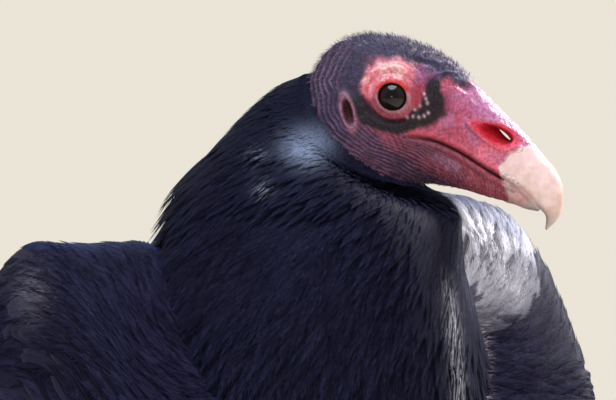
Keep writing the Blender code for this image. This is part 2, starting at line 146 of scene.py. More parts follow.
def on_rings(rows, t, turn):
    """Points at ring number t and angle turn: 0 the left side, 90 the back, 180 the right side, 270 the
    belly.

    Across the ring the point is half width times the cosine, up and down it is the sine times the way to the
    back or to the belly. Both are raised to 2 / squareness, which swells an ellipse towards a box.
    """
    k = smooth(rows, t)
    back, belly, heading = k[..., 0:3], k[..., 3:6], np.radians(k[..., 6:7])
    half, above, below, hang = k[..., 8:9], k[..., 9:10], k[..., 10:11], k[..., 11:12]
    centre = ring_centre(k)
    left = np.concatenate([-np.sin(heading), np.cos(heading), 0 * heading], axis=-1)
    angle = np.radians(np.asarray(turn, float))[..., None]
    cos, sin = np.cos(angle), np.sin(angle)
    power = 2 / np.where(sin > 0, above, below)
    across = np.sign(cos) * np.abs(cos) ** power
    reach = np.where(sin > 0, back - centre, belly - centre) * np.abs(sin) ** power
    hanging = unit(np.cross(back - belly, left)) * hang * np.abs(across) ** 1.5
    return centre + left * half * across + reach + hanging


def surface_axes(rows, t, turn, step=0.02):
    """Along the rings, round them, and out of the surface, as unit vectors."""
    along = on_rings(rows, t + step, turn) - on_rings(rows, t - step, turn)
    around = on_rings(rows, t, turn + 1) - on_rings(rows, t, turn - 1)
    out = unit(np.cross(along, around))
    middle = ring_centre(smooth(rows, t))
    inside = (out * (on_rings(rows, t, turn) - middle)).sum(axis=-1, keepdims=True) < 0
    return unit(along), unit(around), np.where(inside, -out, out)


def below_surface(rows, t, turn, depth):
    """Points depth under the rings' surface, moved towards the ring's middle so that they can't cross."""
    point = on_rings(rows, t, turn)
    inward = unit(ring_centre(smooth(rows, t)) - point)
    cosine = np.abs((inward * surface_axes(rows, t, turn)[2]).sum(axis=-1))
    return point + inward * (depth / np.maximum(cosine, 0.5))[..., None]


two_rings = [(0, 0, 1, 0, 0, -1, 0, 0.5, 1, 2, 2, 0)] * 2
print("ring of radius 1 at 90 degrees:", on_rings(two_rings, 0.5, 90).round(3))

# %% [markdown]
# Living surfaces are never quite even. A three-dimensional noise gives the same value at the same place each
# time, so folds, blotches and ragged edges can be shared by the skin and by what grows on it.

# %% Noise


def noise(points, scale, seed=0):
    """Random values at the corners of cubes of side scale, mixed by eased weights: from -1 to 1."""
    p = np.asarray(points, float) / scale + 4096.5
    cell = np.floor(p).astype(np.int64)
    f = p - cell
    f = f * f * (3 - 2 * f)
    total = 0
    for corner in np.ndindex(2, 2, 2):
        c = cell + np.array(corner)
        mixed = (c[..., 0] * 73856093) ^ (c[..., 1] * 19349663) ^ (c[..., 2] * 83492791) ^ (seed * 39916801)
        mixed = (mixed ^ (mixed >> 13)) * 1274126177
        value = ((mixed ^ (mixed >> 16)) & 0xFFFF) / 32767.5 - 1
        total = total + value * np.prod(np.where(corner, f, 1 - f), axis=-1)
    return total


def rough(points, scale, octaves=3, seed=0):
    """Noise with finer and weaker noise added: each octave has half the size and half the strength."""
    return sum(noise(points, scale / 2**i, seed + i) / 2**i for i in range(octaves))


def hump(value, width):
    """A bell of height 1 about 0, with a standard width."""
    return np.exp(-((value / width) ** 2))


print("noise, 0, 1 and 2 mm along:", noise(np.array([[0.0, 3, 4], [1.0, 3, 4], [2.0, 3, 4]]), 5).round(3))

# %% [markdown]
# Meshes are filled from whole arrays. Points become metres of the frame at the last moment, so every object
# sits at the origin, unturned, with its place in its mesh.

# %% Meshes
COUNTS = {}


def grid_quads(rows, columns, closed):
    """The corner numbers of the quads of a grid. A closed grid joins its last column to its first."""
    near = np.arange(rows - 1)[:, None] * columns
    j = np.arange(columns if closed else columns - 1)[None, :]
    k = (j + 1) % columns
    return np.stack([near + j, near + k, near + columns + k, near + columns + j], axis=-1).reshape(-1, 4)


def make_piece(name, points, quads, material, triangles=(), paint=None, maps=()):
    """A mesh object from points of the drawing. paint is a colour for each point, maps are named UV maps."""
    triangles = np.asarray(triangles, int).reshape(-1, 3)
    points = np.asarray(points, float).reshape(-1, 3)
    corners = np.concatenate([np.asarray(quads, int).ravel(), triangles.ravel()])
    sizes = np.repeat([4, 3], [len(quads), len(triangles)])
    mesh = bpy.data.meshes.new(name)
    mesh.vertices.add(len(points))
    mesh.vertices.foreach_set("co", place(points).astype(np.float32).ravel())
    mesh.loops.add(len(corners))
    mesh.loops.foreach_set("vertex_index", corners.astype(np.int32))
    mesh.polygons.add(len(sizes))
    mesh.polygons.foreach_set("loop_start", (np.cumsum(sizes) - sizes).astype(np.int32))
    mesh.update(calc_edges=True)
    mesh.shade_smooth()
    if paint is not None:
        rgba = np.concatenate([np.asarray(paint).reshape(-1, 3), np.ones((len(points), 1))], axis=1)
        layer = mesh.attributes.new("paint", "FLOAT_COLOR", "POINT")
        layer.data.foreach_set("color", rgba.astype(np.float32).ravel())
    for label, uv in dict(maps).items():
        layer = mesh.uv_layers.new(name=label)
        layer.uv.foreach_set("vector", np.asarray(uv, np.float32).reshape(-1, 2)[corners].ravel())
    mesh.materials.append(material)
    piece = bpy.data.objects.new(name, mesh)
    bpy.context.scene.collection.objects.link(piece)
    COUNTS[name] = len(quads) * 2 + len(triangles)
    return piece


print("a closed grid of 3 rings of 4 has", len(grid_quads(3, 4, True)), "quads")

# %% [markdown]
# ## Materials
# Each finish is a small graph on a Principled shader. A colour that changes over the surface comes from the
# mesh's own paint, worked out from the same shapes as the folds, and the graph adds the fine grain.

# %% Material tools


def new_finish(name, **sockets):
    """A material whose Principled sockets hold the given constant values; underscores stand for spaces."""
    material = bpy.data.materials.new(name)
    material.use_nodes = True
    shader = material.node_tree.nodes["Principled BSDF"]
    for label, value in sockets.items():
        shader.inputs[label.replace("_", " ")].default_value = value
    return material, material.node_tree, shader


def add(tree, kind, **settings):
    """A node with its inputs given by name. A pair (node, output) is linked, anything else is set."""
    node = tree.nodes.new(kind)
    for label, value in settings.items():
        if hasattr(node, label):
            setattr(node, label, value)
            continue
        socket = node.inputs[label.replace("_", " ")]
        if isinstance(value, tuple) and isinstance(value[0], bpy.types.Node):
            tree.links.new(value[0].outputs[value[1]], socket)
        else:
            socket.default_value = value
    return node


def own_paint(tree):
    """The mesh's own paint, as a node and its output."""
    return add(tree, "ShaderNodeAttribute", attribute_name="paint"), "Color"


def grain(tree, scale, detail=3.0, where=None):
    """Noise in object coordinates, scale to the metre."""
    where = where or (add(tree, "ShaderNodeTexCoord"), "Object")
    return add(tree, "ShaderNodeTexNoise", Vector=where, Scale=scale, Detail=detail), "Fac"


def blend(tree, kind, share, first, second):
    """Two colours mixed by share, in the way named by kind."""
    node = tree.nodes.new("ShaderNodeMix")
    node.data_type = "RGBA"
    node.blend_type = kind
    for socket, value in zip((node.inputs[0], node.inputs[6], node.inputs[7]), (share, first, second)):
        if isinstance(value, tuple) and isinstance(value[0], bpy.types.Node):
            tree.links.new(value[0].outputs[value[1]], socket)
        else:
            socket.default_value = value
    return node, 2


def ramp(tree, value, *stops):
    """A colour ramp: stops are pairs of place and colour."""
    node = add(tree, "ShaderNodeValToRGB", Fac=value)
    while len(node.color_ramp.elements) < len(stops):
        node.color_ramp.elements.new(0.5)
    for element, (where, colour) in zip(node.color_ramp.elements, stops):
        element.position = where
        element.color = (*colour, 1)
    return node, "Color"


def bump(tree, height, strength, distance):
    """Relief for the light only: distance is in metres."""
    return add(tree, "ShaderNodeBump", Height=height, Strength=strength, Distance=distance)


# %% [markdown]
# ## The skin: rings
# Under its feathers the bird is one continuous skin, from the root of the tail over the body and neck to the
# base of the bill. The first table is the body with its plumage on; the skin lies a coat's depth inside it.
# The second is the bare head, in its own axes. Both are lofts, so one closed grid covers everything without a
# seam.

# %% Ring tables
BODY_RINGS = [
    (0, 157, 183, 0, 140, 160, -90, 0.50, 24, 2.0, 2.0, 0),  # tail root
    (0, 130, 214, 0, 104, 140, -90, 0.50, 46, 2.1, 2.1, 0),  # rump
    (0, 93, 253, 0, 48, 127, -90, 0.50, 64, 2.2, 2.2, 0),
    (0, 50, 287, 0, -20, 132, -90, 0.50, 73, 2.2, 2.2, 0),  # loins
    (0, 10, 311, 0, -76, 163, -90, 0.52, 73, 2.2, 2.2, 0),  # chest
    (0, -14, 323, 0, -110, 212, -88, 0.54, 65, 2.2, 2.1, 0),  # shoulders
    (-2, -18, 338, 2, -121, 258, -83, 0.52, 57, 2.1, 2.0, 0),  # base of the neck
    (-6, -27, 355, 16, -117, 294, -68, 0.50, 51, 2.0, 2.0, 2),
    (-8, -41, 366, 34, -103, 323, -52, 0.50, 43, 2.0, 2.0, 7),  # ruff
]
HEAD_RINGS = [
    (-29.5, -8.0, 21.0, -21.0, 0.50, 20.5, 2.0, 2.0, 10),  # in the collar
    (-28.8, 3.2, 21.5, -20.9, 0.52, 19.4, 2.0, 2.1, 7),
    (-22.4, 13.0, 22.0, -20.8, 0.54, 17.8, 2.0, 2.1, 4),  # back of the skull
    (-11.2, 18.5, 22.6, -20.6, 0.54, 16.2, 2.1, 2.1, 1),
    (1.5, 20.3, 23.4, -20.3, 0.54, 14.0, 2.2, 2.1, 0),  # over the eyes
    (13.0, 19.2, 25.0, -19.8, 0.52, 12.0, 2.2, 2.1, 0),
    (24.5, 16.2, 29.0, -18.6, 0.50, 10.4, 2.1, 2.2, 0),
    (35.0, 12.8, 36.0, -16.8, 0.50, 9.2, 2.1, 2.3, 0),  # at the nostrils
    (44.5, 9.6, 42.5, -15.8, 0.52, 7.7, 2.1, 2.3, 0),
    (49.5, 7.4, 45.0, -15.2, 0.54, 7.0, 2.1, 2.2, 0),  # base of the bill's horn
    (53.5, 4.6, 50.6, -14.1, 0.54, 5.7, 2.2, 2.2, 0),  # the jaws' cores, under the horn
]
HEAD_ROWS = [(a, 0, b, c, 0, d, 0, *rest) for a, b, c, d, *rest in HEAD_RINGS]
COLLAR = 1.14  # the plumage's last ring is this much wider than the head's first


def turned(rows):
    """Rows in the head's axes as rows of the drawing."""
    rows = np.array(rows, float)
    rows[:, 0:3], rows[:, 3:6], rows[:, 6] = in_head(rows[:, 0:3]), in_head(rows[:, 3:6]), HEAD_TURN
    return rows


def plumage_rows():
    """The rings of trunk and neck with the feathers on, up to the collar that stands off the bare head."""
    collar = turned(HEAD_ROWS[:1])[0]
    centre = ring_centre(collar)
    for ends in (slice(0, 3), slice(3, 6)):
        collar[ends] = centre + (collar[ends] - centre) * COLLAR
    collar[[8, 11]] *= COLLAR
    return np.array([*BODY_RINGS, collar])


BODY_ROWS = plumage_rows()
COAT_DEPTH = [4, 7, 9, 10, 11, 11, 9, 8, 6.5, 3.2]  # millimetres of feathers over the skin at each body ring
print("body rings:", len(BODY_ROWS), "head rings:", len(HEAD_ROWS))


# %% [markdown]
# ## The skin: the face
# A turkey vulture's face is bare, so its relief is all there is to see. The eye bulges behind thick lids. The
# nostril is a slot with no wall in the middle: light shows through it. The gape runs far back, the ear is an
# open pit, and the loose skin of the nape lies in folds that follow the edge of the ruff. Each of these is a
# displacement of the loft, written in the head's axes: x forward, y to the side, z up.

# %% Face measures
LID_RADIUS = 4.75  # the opening between the lids
LID_THICK = 1.3
NOSTRIL_AT, NOSTRIL_HALF = (36.4, 5.1), (6.9, 3.2)
NOSTRIL_CORE = 0.36  # inside this share of the outline the slot is open
EAR_AT, EAR_HALF, EAR_LEAN = (-10.6, -10.9), (1.35, 3.8), -42
RUFF_LINE = [
    (-30, 16), (-31.5, 3), (-29.5, -8), (-20.7, -18.7), (-12.2, -23.6), (-4, -24), (7, -23), (24, -22.5)
]
MOUTH = smooth(
    [(7, -12.6), (11, -9.4), (16, -7.3), (22, -6.2), (30, -6.2), (38, -7.1), (48, -7.8), (56, -7.8)],
    np.linspace(0, 7, 60)
)
# small warts before the eye
PAPILLAE = [
    (9.4, 6.2), (10.6, 5.1), (11.7, 4.0), (9.9, 2.0), (8.9, 0.2), (13.4, 1.2), (12.7, -0.4), (11.4, -1.6),
    (9.4, -2.2), (7.8, -3.4)
]


def distance_to(x, z, points):
    """The distance to a drawn line: the nearest of its straight steps counts."""
    nearest = np.full(x.shape, 99.0)
    for (ax, az), (bx, bz) in zip(points[:-1], points[1:]):
        dx, dz = bx - ax, bz - az
        f = np.clip(((x - ax) * dx + (z - az) * dz) / (dx * dx + dz * dz), 0, 1)
        nearest = np.minimum(nearest, np.hypot(x - ax - f * dx, z - az - f * dz))
    return nearest


def lid_distance(x, z):
    """Distance from the eye's axis, in an opening that is a little wider than it is high."""
    return np.hypot((x - EYE_AT[0]) / 1.04, (z - EYE_AT[2]) / 0.97)


def nostril_distance(x, z):
    """1 on the nostril's outline: an ellipse, drawn out to a point at the back."""
    u = (x - NOSTRIL_AT[0]) / NOSTRIL_HALF[0]
    v = (z - NOSTRIL_AT[1] - 0.35 * u) / (NOSTRIL_HALF[1] * (0.9 + 0.22 * np.clip(u, -1, 1)))
    return np.hypot(u, v)


def ear_distance(x, z):
    """1 on the edge of the ear's pit, a leaning ellipse."""
    lean = math.radians(EAR_LEAN)
    u, v = x - EAR_AT[0], z - EAR_AT[1]
    return np.hypot(
        (u * math.cos(lean) - v * math.sin(lean)) / EAR_HALF[0],
        (v * math.cos(lean) + u * math.sin(lean)) / EAR_HALF[1]
    )


def above_mouth(x, z):
    """How high a point lies over the line of the mouth."""
    return z - np.interp(x, MOUTH[:, 0], MOUTH[:, 1])


# %% [markdown]
# Fine edges need close rows. So the grid's points are slid along the surface until they crowd at the edges of
# lids, nostril and mouth.

# %% Crowding


def gathered(value, middle, width, share=0.78):
    """Pulls values towards the middle, so that rows of points crowd along an edge: slope 1 - share there."""
    return value - share * (value - middle) * hump(value - middle, width)


def crowd(p):
    """Slides points over the surface towards the lids' edge, the nostril's outline and core, and the
    mouth's line."""
    x, y, z = p[..., 0], p[..., 1], p[..., 2]
    reach = lid_distance(x, z)
    factor = gathered(reach, LID_RADIUS, 1.3) / np.maximum(reach, 0.1)
    x, z = EYE_AT[0] + (x - EYE_AT[0]) * factor, EYE_AT[2] + (z - EYE_AT[2]) * factor
    reach = nostril_distance(x, z)
    factor = gathered(reach, NOSTRIL_CORE, 0.16, 0.85) / np.maximum(reach, 0.02)
    x, z = NOSTRIL_AT[0] + (x - NOSTRIL_AT[0]) * factor, NOSTRIL_AT[1] + (z - NOSTRIL_AT[1]) * factor
    above = above_mouth(x, z)
    z = z + (gathered(above, 0, 1.1, 0.6) - above) * eased(x, 6, 12)
    return np.stack([x, y, z], axis=-1)


# %% [markdown]
# The loose skin of the nape is gathered into folds like the neck of a sack, because the ruff holds it. On the
# crown it only rumples. Both are waves whose valleys are sharp and whose tops are round: the sine's absolute
# value.

# %% Folds


def folds_behind(p):
    """Folds that follow the ruff's edge: |sine| of the distance from it, sharp in the valleys, finer under
    the jaw."""
    x, z = p[..., 0], p[..., 2]
    far = distance_to(x, z, RUFF_LINE)
    under = eased(x, -16, 4)
    fade = (
        (1 - eased(far, 9 + 2 * under, 14 + 3 * under)) * (1 - eased(z, 6, 17)) * (1 - 0.5 * eased(x, 16, 30))
    )
    wander = (0.55 + 0.3 * under) * noise(p, 9, 3) + (0.25 + 0.15 * under) * noise(p, 3.5, 4)
    return (
        np.abs(np.sin(np.pi * (far / (1.95 - 0.8 * under) + wander))) ** 0.8,
        fade * (0.8 + 0.4 * noise(p, 5, 9))
    )


def crown_folds(p):
    """Rumpled folds over the front of the crown: noise stretched along the folds, with its zero lines as
    valleys."""
    x, y, z = p[..., 0], np.abs(p[..., 1]), p[..., 2]
    along, across = 0.8 * x - 0.6 * y, 0.6 * x + 0.8 * y
    warped = (
        np.stack([along * 0.36, across, z * 0.8], axis=-1)
        + 0.8 * np.stack([noise(p, 5, 21), noise(p, 5, 22), noise(p, 5, 23)], -1)
    )
    ridged = 1 - np.abs(noise(warped, 2.7, 11)) * 1.7
    place_on = eased(z, 10.5, 14.5) * eased(x, -10, 2) * (1 - eased(x, 21, 29))
    return ridged * place_on, place_on


# %% [markdown]
# The relief goes on in steps, each a small function: first what stands out of the loft along its normals,
# then what changes the head's half width, which keeps the two sides apart at the mouth, the ear, the lids and
# the nostril.

# %% Relief of the face


def relief(base, p):
    """How far the skin stands out of the loft, in millimetres: folds, brow, creases, and rings and rays by
    the eye."""
    x, z = p[..., 0], p[..., 2]
    ridge, fade = folds_behind(base)
    crown, crown_place = crown_folds(base)
    rise = (0.60 - 0.25 * eased(x, -14, 2)) * (ridge - 0.75) * fade
    rise += 0.95 * (crown - 0.55 * crown_place)
    rise += 0.27 * rough(base, 2.6, 3, 31)
    rise += 1.5 * hump(x + 1, 9) * hump(z - 10.5, 4.5)  # brow
    rise += 0.5 * hump(x - 13, 3.2) * hump(z - 8, 5)  # the swelling before the eye
    creases = np.abs(np.sin(np.pi * (x + 0.35 * z + 0.7 * noise(base, 4, 8)) / 1.7))
    rise += 0.28 * (creases - 0.6) * hump(x - 11.5, 4) * hump(z - 3, 7)
    bearing = np.arctan2(z - EYE_AT[2], x - EYE_AT[0])
    rays = np.abs(np.sin(bearing * 9 + 2 * noise(base, 6, 14)))
    rise += 0.22 * (rays - 0.6) * hump(lid_distance(x, z) - 10.5, 3) * eased(x + 0.5 * z, 2, -6)
    ring = lid_distance(x, z) + 0.5 * noise(base, 3, 12)
    rise += 0.16 * np.abs(np.sin(np.pi * ring / 1.15)) * eased(ring, 6.8, 8) * (1 - eased(ring, 12, 15))
    return rise * eased(lid_distance(x, z), 4.6, 5.6) * eased(nostril_distance(x, z), 0.8, 1.3)


def with_lips_and_ear(width, x, z):
    """The half width with the mouth's line sunk between two lips, creases at its corner, and the ear in
    its rim."""
    above = above_mouth(x, z)
    lips = 1.5 * hump(above, 0.42) - 0.55 * hump(above - 1.5, 0.9) - 0.65 * hump(above + 1.7, 1.0)
    width = width - eased(x, 8.5, 13) * lips
    creases = np.abs(np.sin(0.5 * np.pi * (z + 0.8 * x) / 1.1))
    width = width + 0.5 * (creases - 0.5) * hump(x - 8, 3.5) * hump(z + 11, 4)
    pit = ear_distance(x, z)
    return width - 3.2 * np.exp(-((pit / 0.95) ** 4)) + 0.75 * hump(pit - 1.45, 0.4)


def with_lids(width, x, z):
    """The half width by the eye: a thick lid over the ball, its edge rounded in, with a groove and fine
    rings above."""
    reach = lid_distance(x, z)
    over_ball = EYE_AT[1] + np.sqrt(np.maximum((EYE_RADIUS + LID_THICK) ** 2 - reach**2, 0.01))
    lid = over_ball - 0.55 * hump(reach - LID_RADIUS, 0.42)
    groove = 0.45 * hump(reach - 6.75, 0.28) * (0.4 + 0.6 * eased(z - EYE_AT[2], -2, 4))
    lid = lid - groove + 0.12 * np.cos(reach * 7.5) * eased(reach, 5.4, 6.2)
    under_lid = EYE_AT[1] + np.sqrt(np.maximum(EYE_RADIUS**2 - reach**2, 0.01)) - 1.3
    lid = np.where(reach < LID_RADIUS - 0.02, under_lid, lid)
    share = 1 - eased(reach, 6.0, 10.2)
    return width * (1 - share) + np.where(reach < LID_RADIUS, lid, np.maximum(lid, width * 0.6)) * share


def with_nostril(width, x, z):
    """A raised rim round the slot. Inside it the skin is drawn to the head's middle, forward, and together
    in height."""
    slot = nostril_distance(x, z)
    width = width + hump(slot - 1.32, 0.28) * (0.35 + 0.75 * eased(-(z - NOSTRIL_AT[1]), -1.5, 1.5))
    wide = eased(slot, NOSTRIL_CORE + 0.02, 1.04) ** 0.7
    drawn = 1 - wide
    lift = 0.9 - 0.62 * (z - NOSTRIL_AT[1]) - 0.32 * (x - NOSTRIL_AT[0])
    return width * wide, x + 2.4 * drawn, z + drawn * lift, slot


# %% [markdown]
# The head's grid is the loft with its points crowded, raised along the normals and given its widths.

# %% The head


def sculpted(s, turn):
    """The head's skin at ring number s and angle turn, in the head's axes, and each point's nostril
    distance."""
    base = on_rings(HEAD_ROWS, s, turn)
    out = surface_axes(HEAD_ROWS, np.clip(s, 0.03, 9.97), turn)[2]
    p = crowd(base)
    side, x, z = np.sign(p[..., 1]), p[..., 0], p[..., 2]
    p = p + out * relief(base, p)[..., None]
    for u, v in PAPILLAE:
        p = p + out * (0.55 * np.exp(-((x - u) ** 2 + (z - v) ** 2) / 0.28))[..., None]
    x, plain_width, z = p[..., 0], np.abs(p[..., 1]), p[..., 2]
    width = with_lids(with_lips_and_ear(plain_width, x, z), x, z)
    width, x, z, slot = with_nostril(width, x, z)
    on_side = np.abs(np.sin(np.radians(turn))) < 0.985
    return np.stack([x, side * np.where(on_side, width, plain_width), z], axis=-1), slot


HEAD_STOPS = np.concatenate([
    np.linspace(0, 2.2, 58, endpoint=False), np.linspace(2.2, 5.0, 98, endpoint=False),
    np.linspace(5.0, 10.0, 118)
])
HEAD_TURNS = np.arange(300) * 1.2
HEAD_GRID, HEAD_SLOT = sculpted(*np.meshgrid(HEAD_STOPS, HEAD_TURNS, indexing="ij"))
print(
    "head grid", HEAD_GRID.shape, "from", HEAD_GRID.min((0, 1)).round(1), "to", HEAD_GRID.max((0, 1)).round(1)
)

# %% [markdown]
# ## The skin: its colours
# Rose red on the face, dark violet on the crown and nape, paler along the top of every fold, black before and
# under the eye, scarlet in the nostril and along the lips. The paler fold tops on the crown are a painted
# highlight, a mauve painted sheen runs along the bill's ridge, and painted shade darkens the line of the
# mouth, the ear's pit and the lids' inner edge. Each colour is a soft mask on the shape before it.

# %% Paint


def stroke(x, z, points, width):
    """1 within width of a drawn line and 0 well outside it."""
    return 1 - eased(distance_to(x, z, points), width * 0.55, width * 1.25)


def over(colour, mask, other):
    """other laid over colour where the mask is 1."""
    return colour + (np.asarray(other) - colour) * np.clip(mask, 0, 1)[..., None]


def layered(colour, *layers):
    """Each layer is a share and a shade, laid in turn over what is there."""
    for share, shade in layers:
        colour = over(colour, share, shade)
    return colour


IVORY, PLUMAGE_DARK = (0.74, 0.55, 0.52), (0.006, 0.007, 0.014)
VIOLET, FOLD_TOP, ROSE = (0.026, 0.015, 0.042), (0.24, 0.10, 0.18), (0.46, 0.075, 0.120)
LOWER_TONE_UNDER = (0.62, 0.50, 0.50)  # how much darker the skin is where the lower horn covers it


def ivory_share(p):
    """1 on the horn and 0 on the cere behind it: the edge bulges back in the middle of the upper bill."""
    x, z = p[..., 0], p[..., 2]
    edge = np.interp(z, [-18, -13.5, -8.7, -4.9, 1, 4.5, 6.5, 9], [51.5, 50, 46, 42.6, 43.6, 46, 48, 49.5])
    return eased(x - edge + 0.5 * rough(p, 3, 2, 42), -0.5, 0.7)


# %% [markdown]
# Blood shows through the bare skin, so the face is red; crown and nape are dark and violet. These ground
# colours are laid first, each as a share and a shade.

# %% Ground colours


def ground_colours(p, xw, zw, wander):
    """Red skin on the face, dark red under the mouth, violet on crown and nape, paler along the tops of
    the folds, with a painted sheen of mauve along the bill's ridge and a painted highlight of lavender on the
    crown's folds."""
    x, z = p[..., 0], p[..., 2]
    ridge, fade = folds_behind(p)
    above = above_mouth(x, z)
    below = eased(-above_mouth(xw, zw), -0.4, 0.6) * eased(x, 4, 12)
    back = 1 - eased(xw + 0.25 * zw, -13, -5)
    crown = eased(zw - 0.12 * xw - 9.8, 0.8, 3.8) * (1 - eased(x + 0.4 * wander, 17, 26))
    tops = fade * eased(ridge, 0.78, 1.0) * eased(noise(p, 5, 52), -0.9, 0.1)
    under_jaw = stroke(x, z, [(6, -13), (16, -13.5), (24, -15)], 3.5) * eased(ridge, 0.4, 0.9)
    return layered(
        np.broadcast_to(np.array(ROSE), (*x.shape, 3)) * (1 + 0.20 * wander)[..., None],
        (0.45 * eased(noise(p, 6, 47), -0.1, 0.7), (0.78, 0.16, 0.22)),  # blotches
        # painted sheen: mauve along the bill's ridge
        (0.75 * eased(x, 16, 24) * eased(z + 0.25 * x, 12.5, 18), (0.48, 0.20, 0.38)),
        (0.55 * hump(x - 21, 5) * hump(z - 1, 5), (0.36, 0.055, 0.10)),
        (0.6 * stroke(x, z, [(37, -1.5), (43, -1)], 4.5), (0.84, 0.20, 0.27)),  # bright under the nostril
        (0.55 * stroke(x, z, [(17, 9), (24, 7)], 4.5) * eased(z, 3, 7), (0.42, 0.10, 0.20)),
        (below, (0.25, 0.045, 0.072)),
        (0.5 * below * eased(ridge * (1 + 0.3 * wander), 0.5, 1.0), (0.44, 0.10, 0.13)),
        (0.5 * stroke(x, z, [(23, -11.5), (29, -11.5)], 2.4), (0.46, 0.22, 0.36)),  # a pale spot on the jaw
        (eased(-zw + 0.15 * (20 - x), 13.5, 18), (0.10, 0.030, 0.060)),  # the throat
        (np.maximum(back, 0.8 * fade), VIOLET),
        (
            0.55 * eased(rough(p, 4.5, 3, 63), -0.3, 0.5) * eased(x, 12, 18) * eased(above, 2, 6),
            (0.46, 0.17, 0.30)
        ),
        (crown, (0.036, 0.030, 0.066)),
        (0.30 * crown * eased(rough(p, 2.5, 3, 65), 0.0, 0.8), (0.12, 0.11, 0.20)),
        # painted highlight: lavender on the tops of the crown's folds
        (0.55 * crown * eased(crown_folds(p)[0], 0.6, 1.1) * eased(x, -4, 6), (0.24, 0.17, 0.36)),
        (0.62 * tops, FOLD_TOP),
        (0.5 * under_jaw, (0.30, 0.06, 0.10)),
    )


# %% [markdown]
# Round the eye the pattern is the bird's own: a pale patch behind, a black mark curving under, a row of pale
# warts. The cream mottling of the pale patch is partly a painted highlight, and the lids' inner edge is
# darkened with painted shade.

# %% Colours round the eye


def eye_colours(colour, p, xw, zw):
    """A pale pink patch behind and over the eye, its cream mottling partly a painted highlight, the black
    mark before and under it, the warts, and the two lids, their inner edge darkened with painted shade."""
    x, z = p[..., 0], p[..., 2]
    reach = lid_distance(x, z)
    pink = stroke(xw, zw, [(-7.4, 0), (-8, 4), (-6.1, 7.6), (-3, 9.8), (1.5, 10.6)], 4.0)
    # cream mottling: the skin's pale colour with a painted highlight over it
    cream_and_highlight = stroke(xw, zw, [(-8, 2.5), (-5.7, 8), (-1, 9.6)], 3.2) * eased(rough(p, 3, 3, 57), -0.6, 0.3)
    mark = [(10.4, 10.8), (13, 6), (14.4, 2.5), (13.6, -0.8), (8.5, -5.6), (2, -8.6), (-4, -9), (-9.4, -6.8)]
    black = stroke(xw, zw, mark, 3.3)
    black = np.maximum(black, stroke(xw, zw, [(13, 6), (14.6, 2.5), (13.4, -0.8)], 4.6))
    black = np.maximum(black, stroke(xw, zw, [(11, 6.5), (11, 2), (10, -2.5)], 3.0)) * eased(reach, 6.9, 8.0)
    colour = layered(
        colour,
        (0.97 * pink, (0.74, 0.21, 0.25)),
        (0.8 * cream_and_highlight, (0.90, 0.56, 0.50)),
        (0.6 * stroke(xw, zw, [(5, 11.5), (9, 12.5)], 3), (0.24, 0.10, 0.24)),
        (0.98 * black, (0.004, 0.004, 0.007)),
        (0.75 * stroke(x, z, [(7.6, 5.5), (8.6, 1)], 1.3) * eased(reach, 6.3, 6.9), (0.36, 0.05, 0.06)),
        *((0.85 * np.exp(-((x - u) ** 2 + (z - v) ** 2) / 0.25), (0.76, 0.52, 0.52)) for u, v in PAPILLAE),
    )
    lid_up = 0.9 * (z - EYE_AT[2]) - 0.43 * (x - EYE_AT[0])
    lid_side = 0.9 * (x - EYE_AT[0]) + 0.43 * (z - EYE_AT[2])
    scarlet = eased(lid_up - 0.15 * np.abs(lid_side), 0.2, 2.2)
    lid_colour = over(
        np.broadcast_to(np.array((0.40, 0.15, 0.18)), (*x.shape, 3)), scarlet, (0.60, 0.035, 0.022)
    )
    colour = colour + (lid_colour - colour) * (1 - eased(reach, 5.9, 6.7))[..., None]
    # painted shade where the lids tuck in against the eyeball
    return over(colour, 1 - eased(reach, LID_RADIUS - 0.1, LID_RADIUS + 0.45), (0.04, 0.010, 0.012))


# %% [markdown]
# Last come mouth, nostril and ear, and the horn's own colour under its cap, so no red edge shows there.

# %% Openings and the whole face


def opening_colours(colour, p, wander):
    """The mouth's line, darkened with painted shade, under a red lip, the scarlet nostril, and the ear with
    its pale rim and its pit darkened with painted shade.
    """
    x, z = p[..., 0], p[..., 2]
    above, slot, pit = above_mouth(x, z), nostril_distance(x, z), ear_distance(x, z)
    gape = eased(x, 9, 14) * (1 - eased(x, 44, 49))
    return layered(
        colour,
        (0.7 * gape * hump(above - 1.0, 0.9), (0.40, 0.045, 0.05)),
        # painted shade in the crease between the lips
        (gape * eased(x, 13, 18) * hump(above, 0.5), (0.020, 0.006, 0.010)),
        (0.9 * (1 - eased(slot + 0.10 * wander, 1.05, 1.5)), (0.72, 0.035, 0.065)),
        (0.97 * (1 - eased(slot, 0.8, 1.02)), (0.50, 0.008, 0.018)),
        (0.75 * hump(pit - 1.6, 0.38), (0.36, 0.15, 0.20)),
        # painted shade inside the ear's pit
        (1 - eased(pit, 0.8, 1.3), (0.07, 0.018, 0.014)),
    )


def face_paint(p):
    """All of the head's colours at points in its own axes. The outlines wander by about a millimetre."""
    wander = rough(p, 4, 3, 41)
    xw, zw = p[..., 0] + 1.2 * wander, p[..., 2] + 1.2 * noise(p, 3, 45)
    colour = opening_colours(eye_colours(ground_colours(p, xw, zw, wander), p, xw, zw), p, wander)
    on_lower = eased(-above_mouth(p[..., 0], p[..., 2]), -0.6, 0.2)
    horn = over(np.broadcast_to(np.array(IVORY), colour.shape), on_lower, np.array(IVORY) * LOWER_TONE_UNDER)
    return colour + (horn - colour) * ivory_share(p)[..., None]


HEAD_PAINT = face_paint(HEAD_GRID)
print("face painted:", HEAD_PAINT.mean((0, 1)).round(3))

# %% [markdown]
# ## The skin: body, thighs and forearms
# The body's rings continue the head's, so the neck joins without a seam. Each thigh is a tapering tube that
# starts inside the belly. The forearm of the folded wing is flesh too, a flat pad under the coverts.

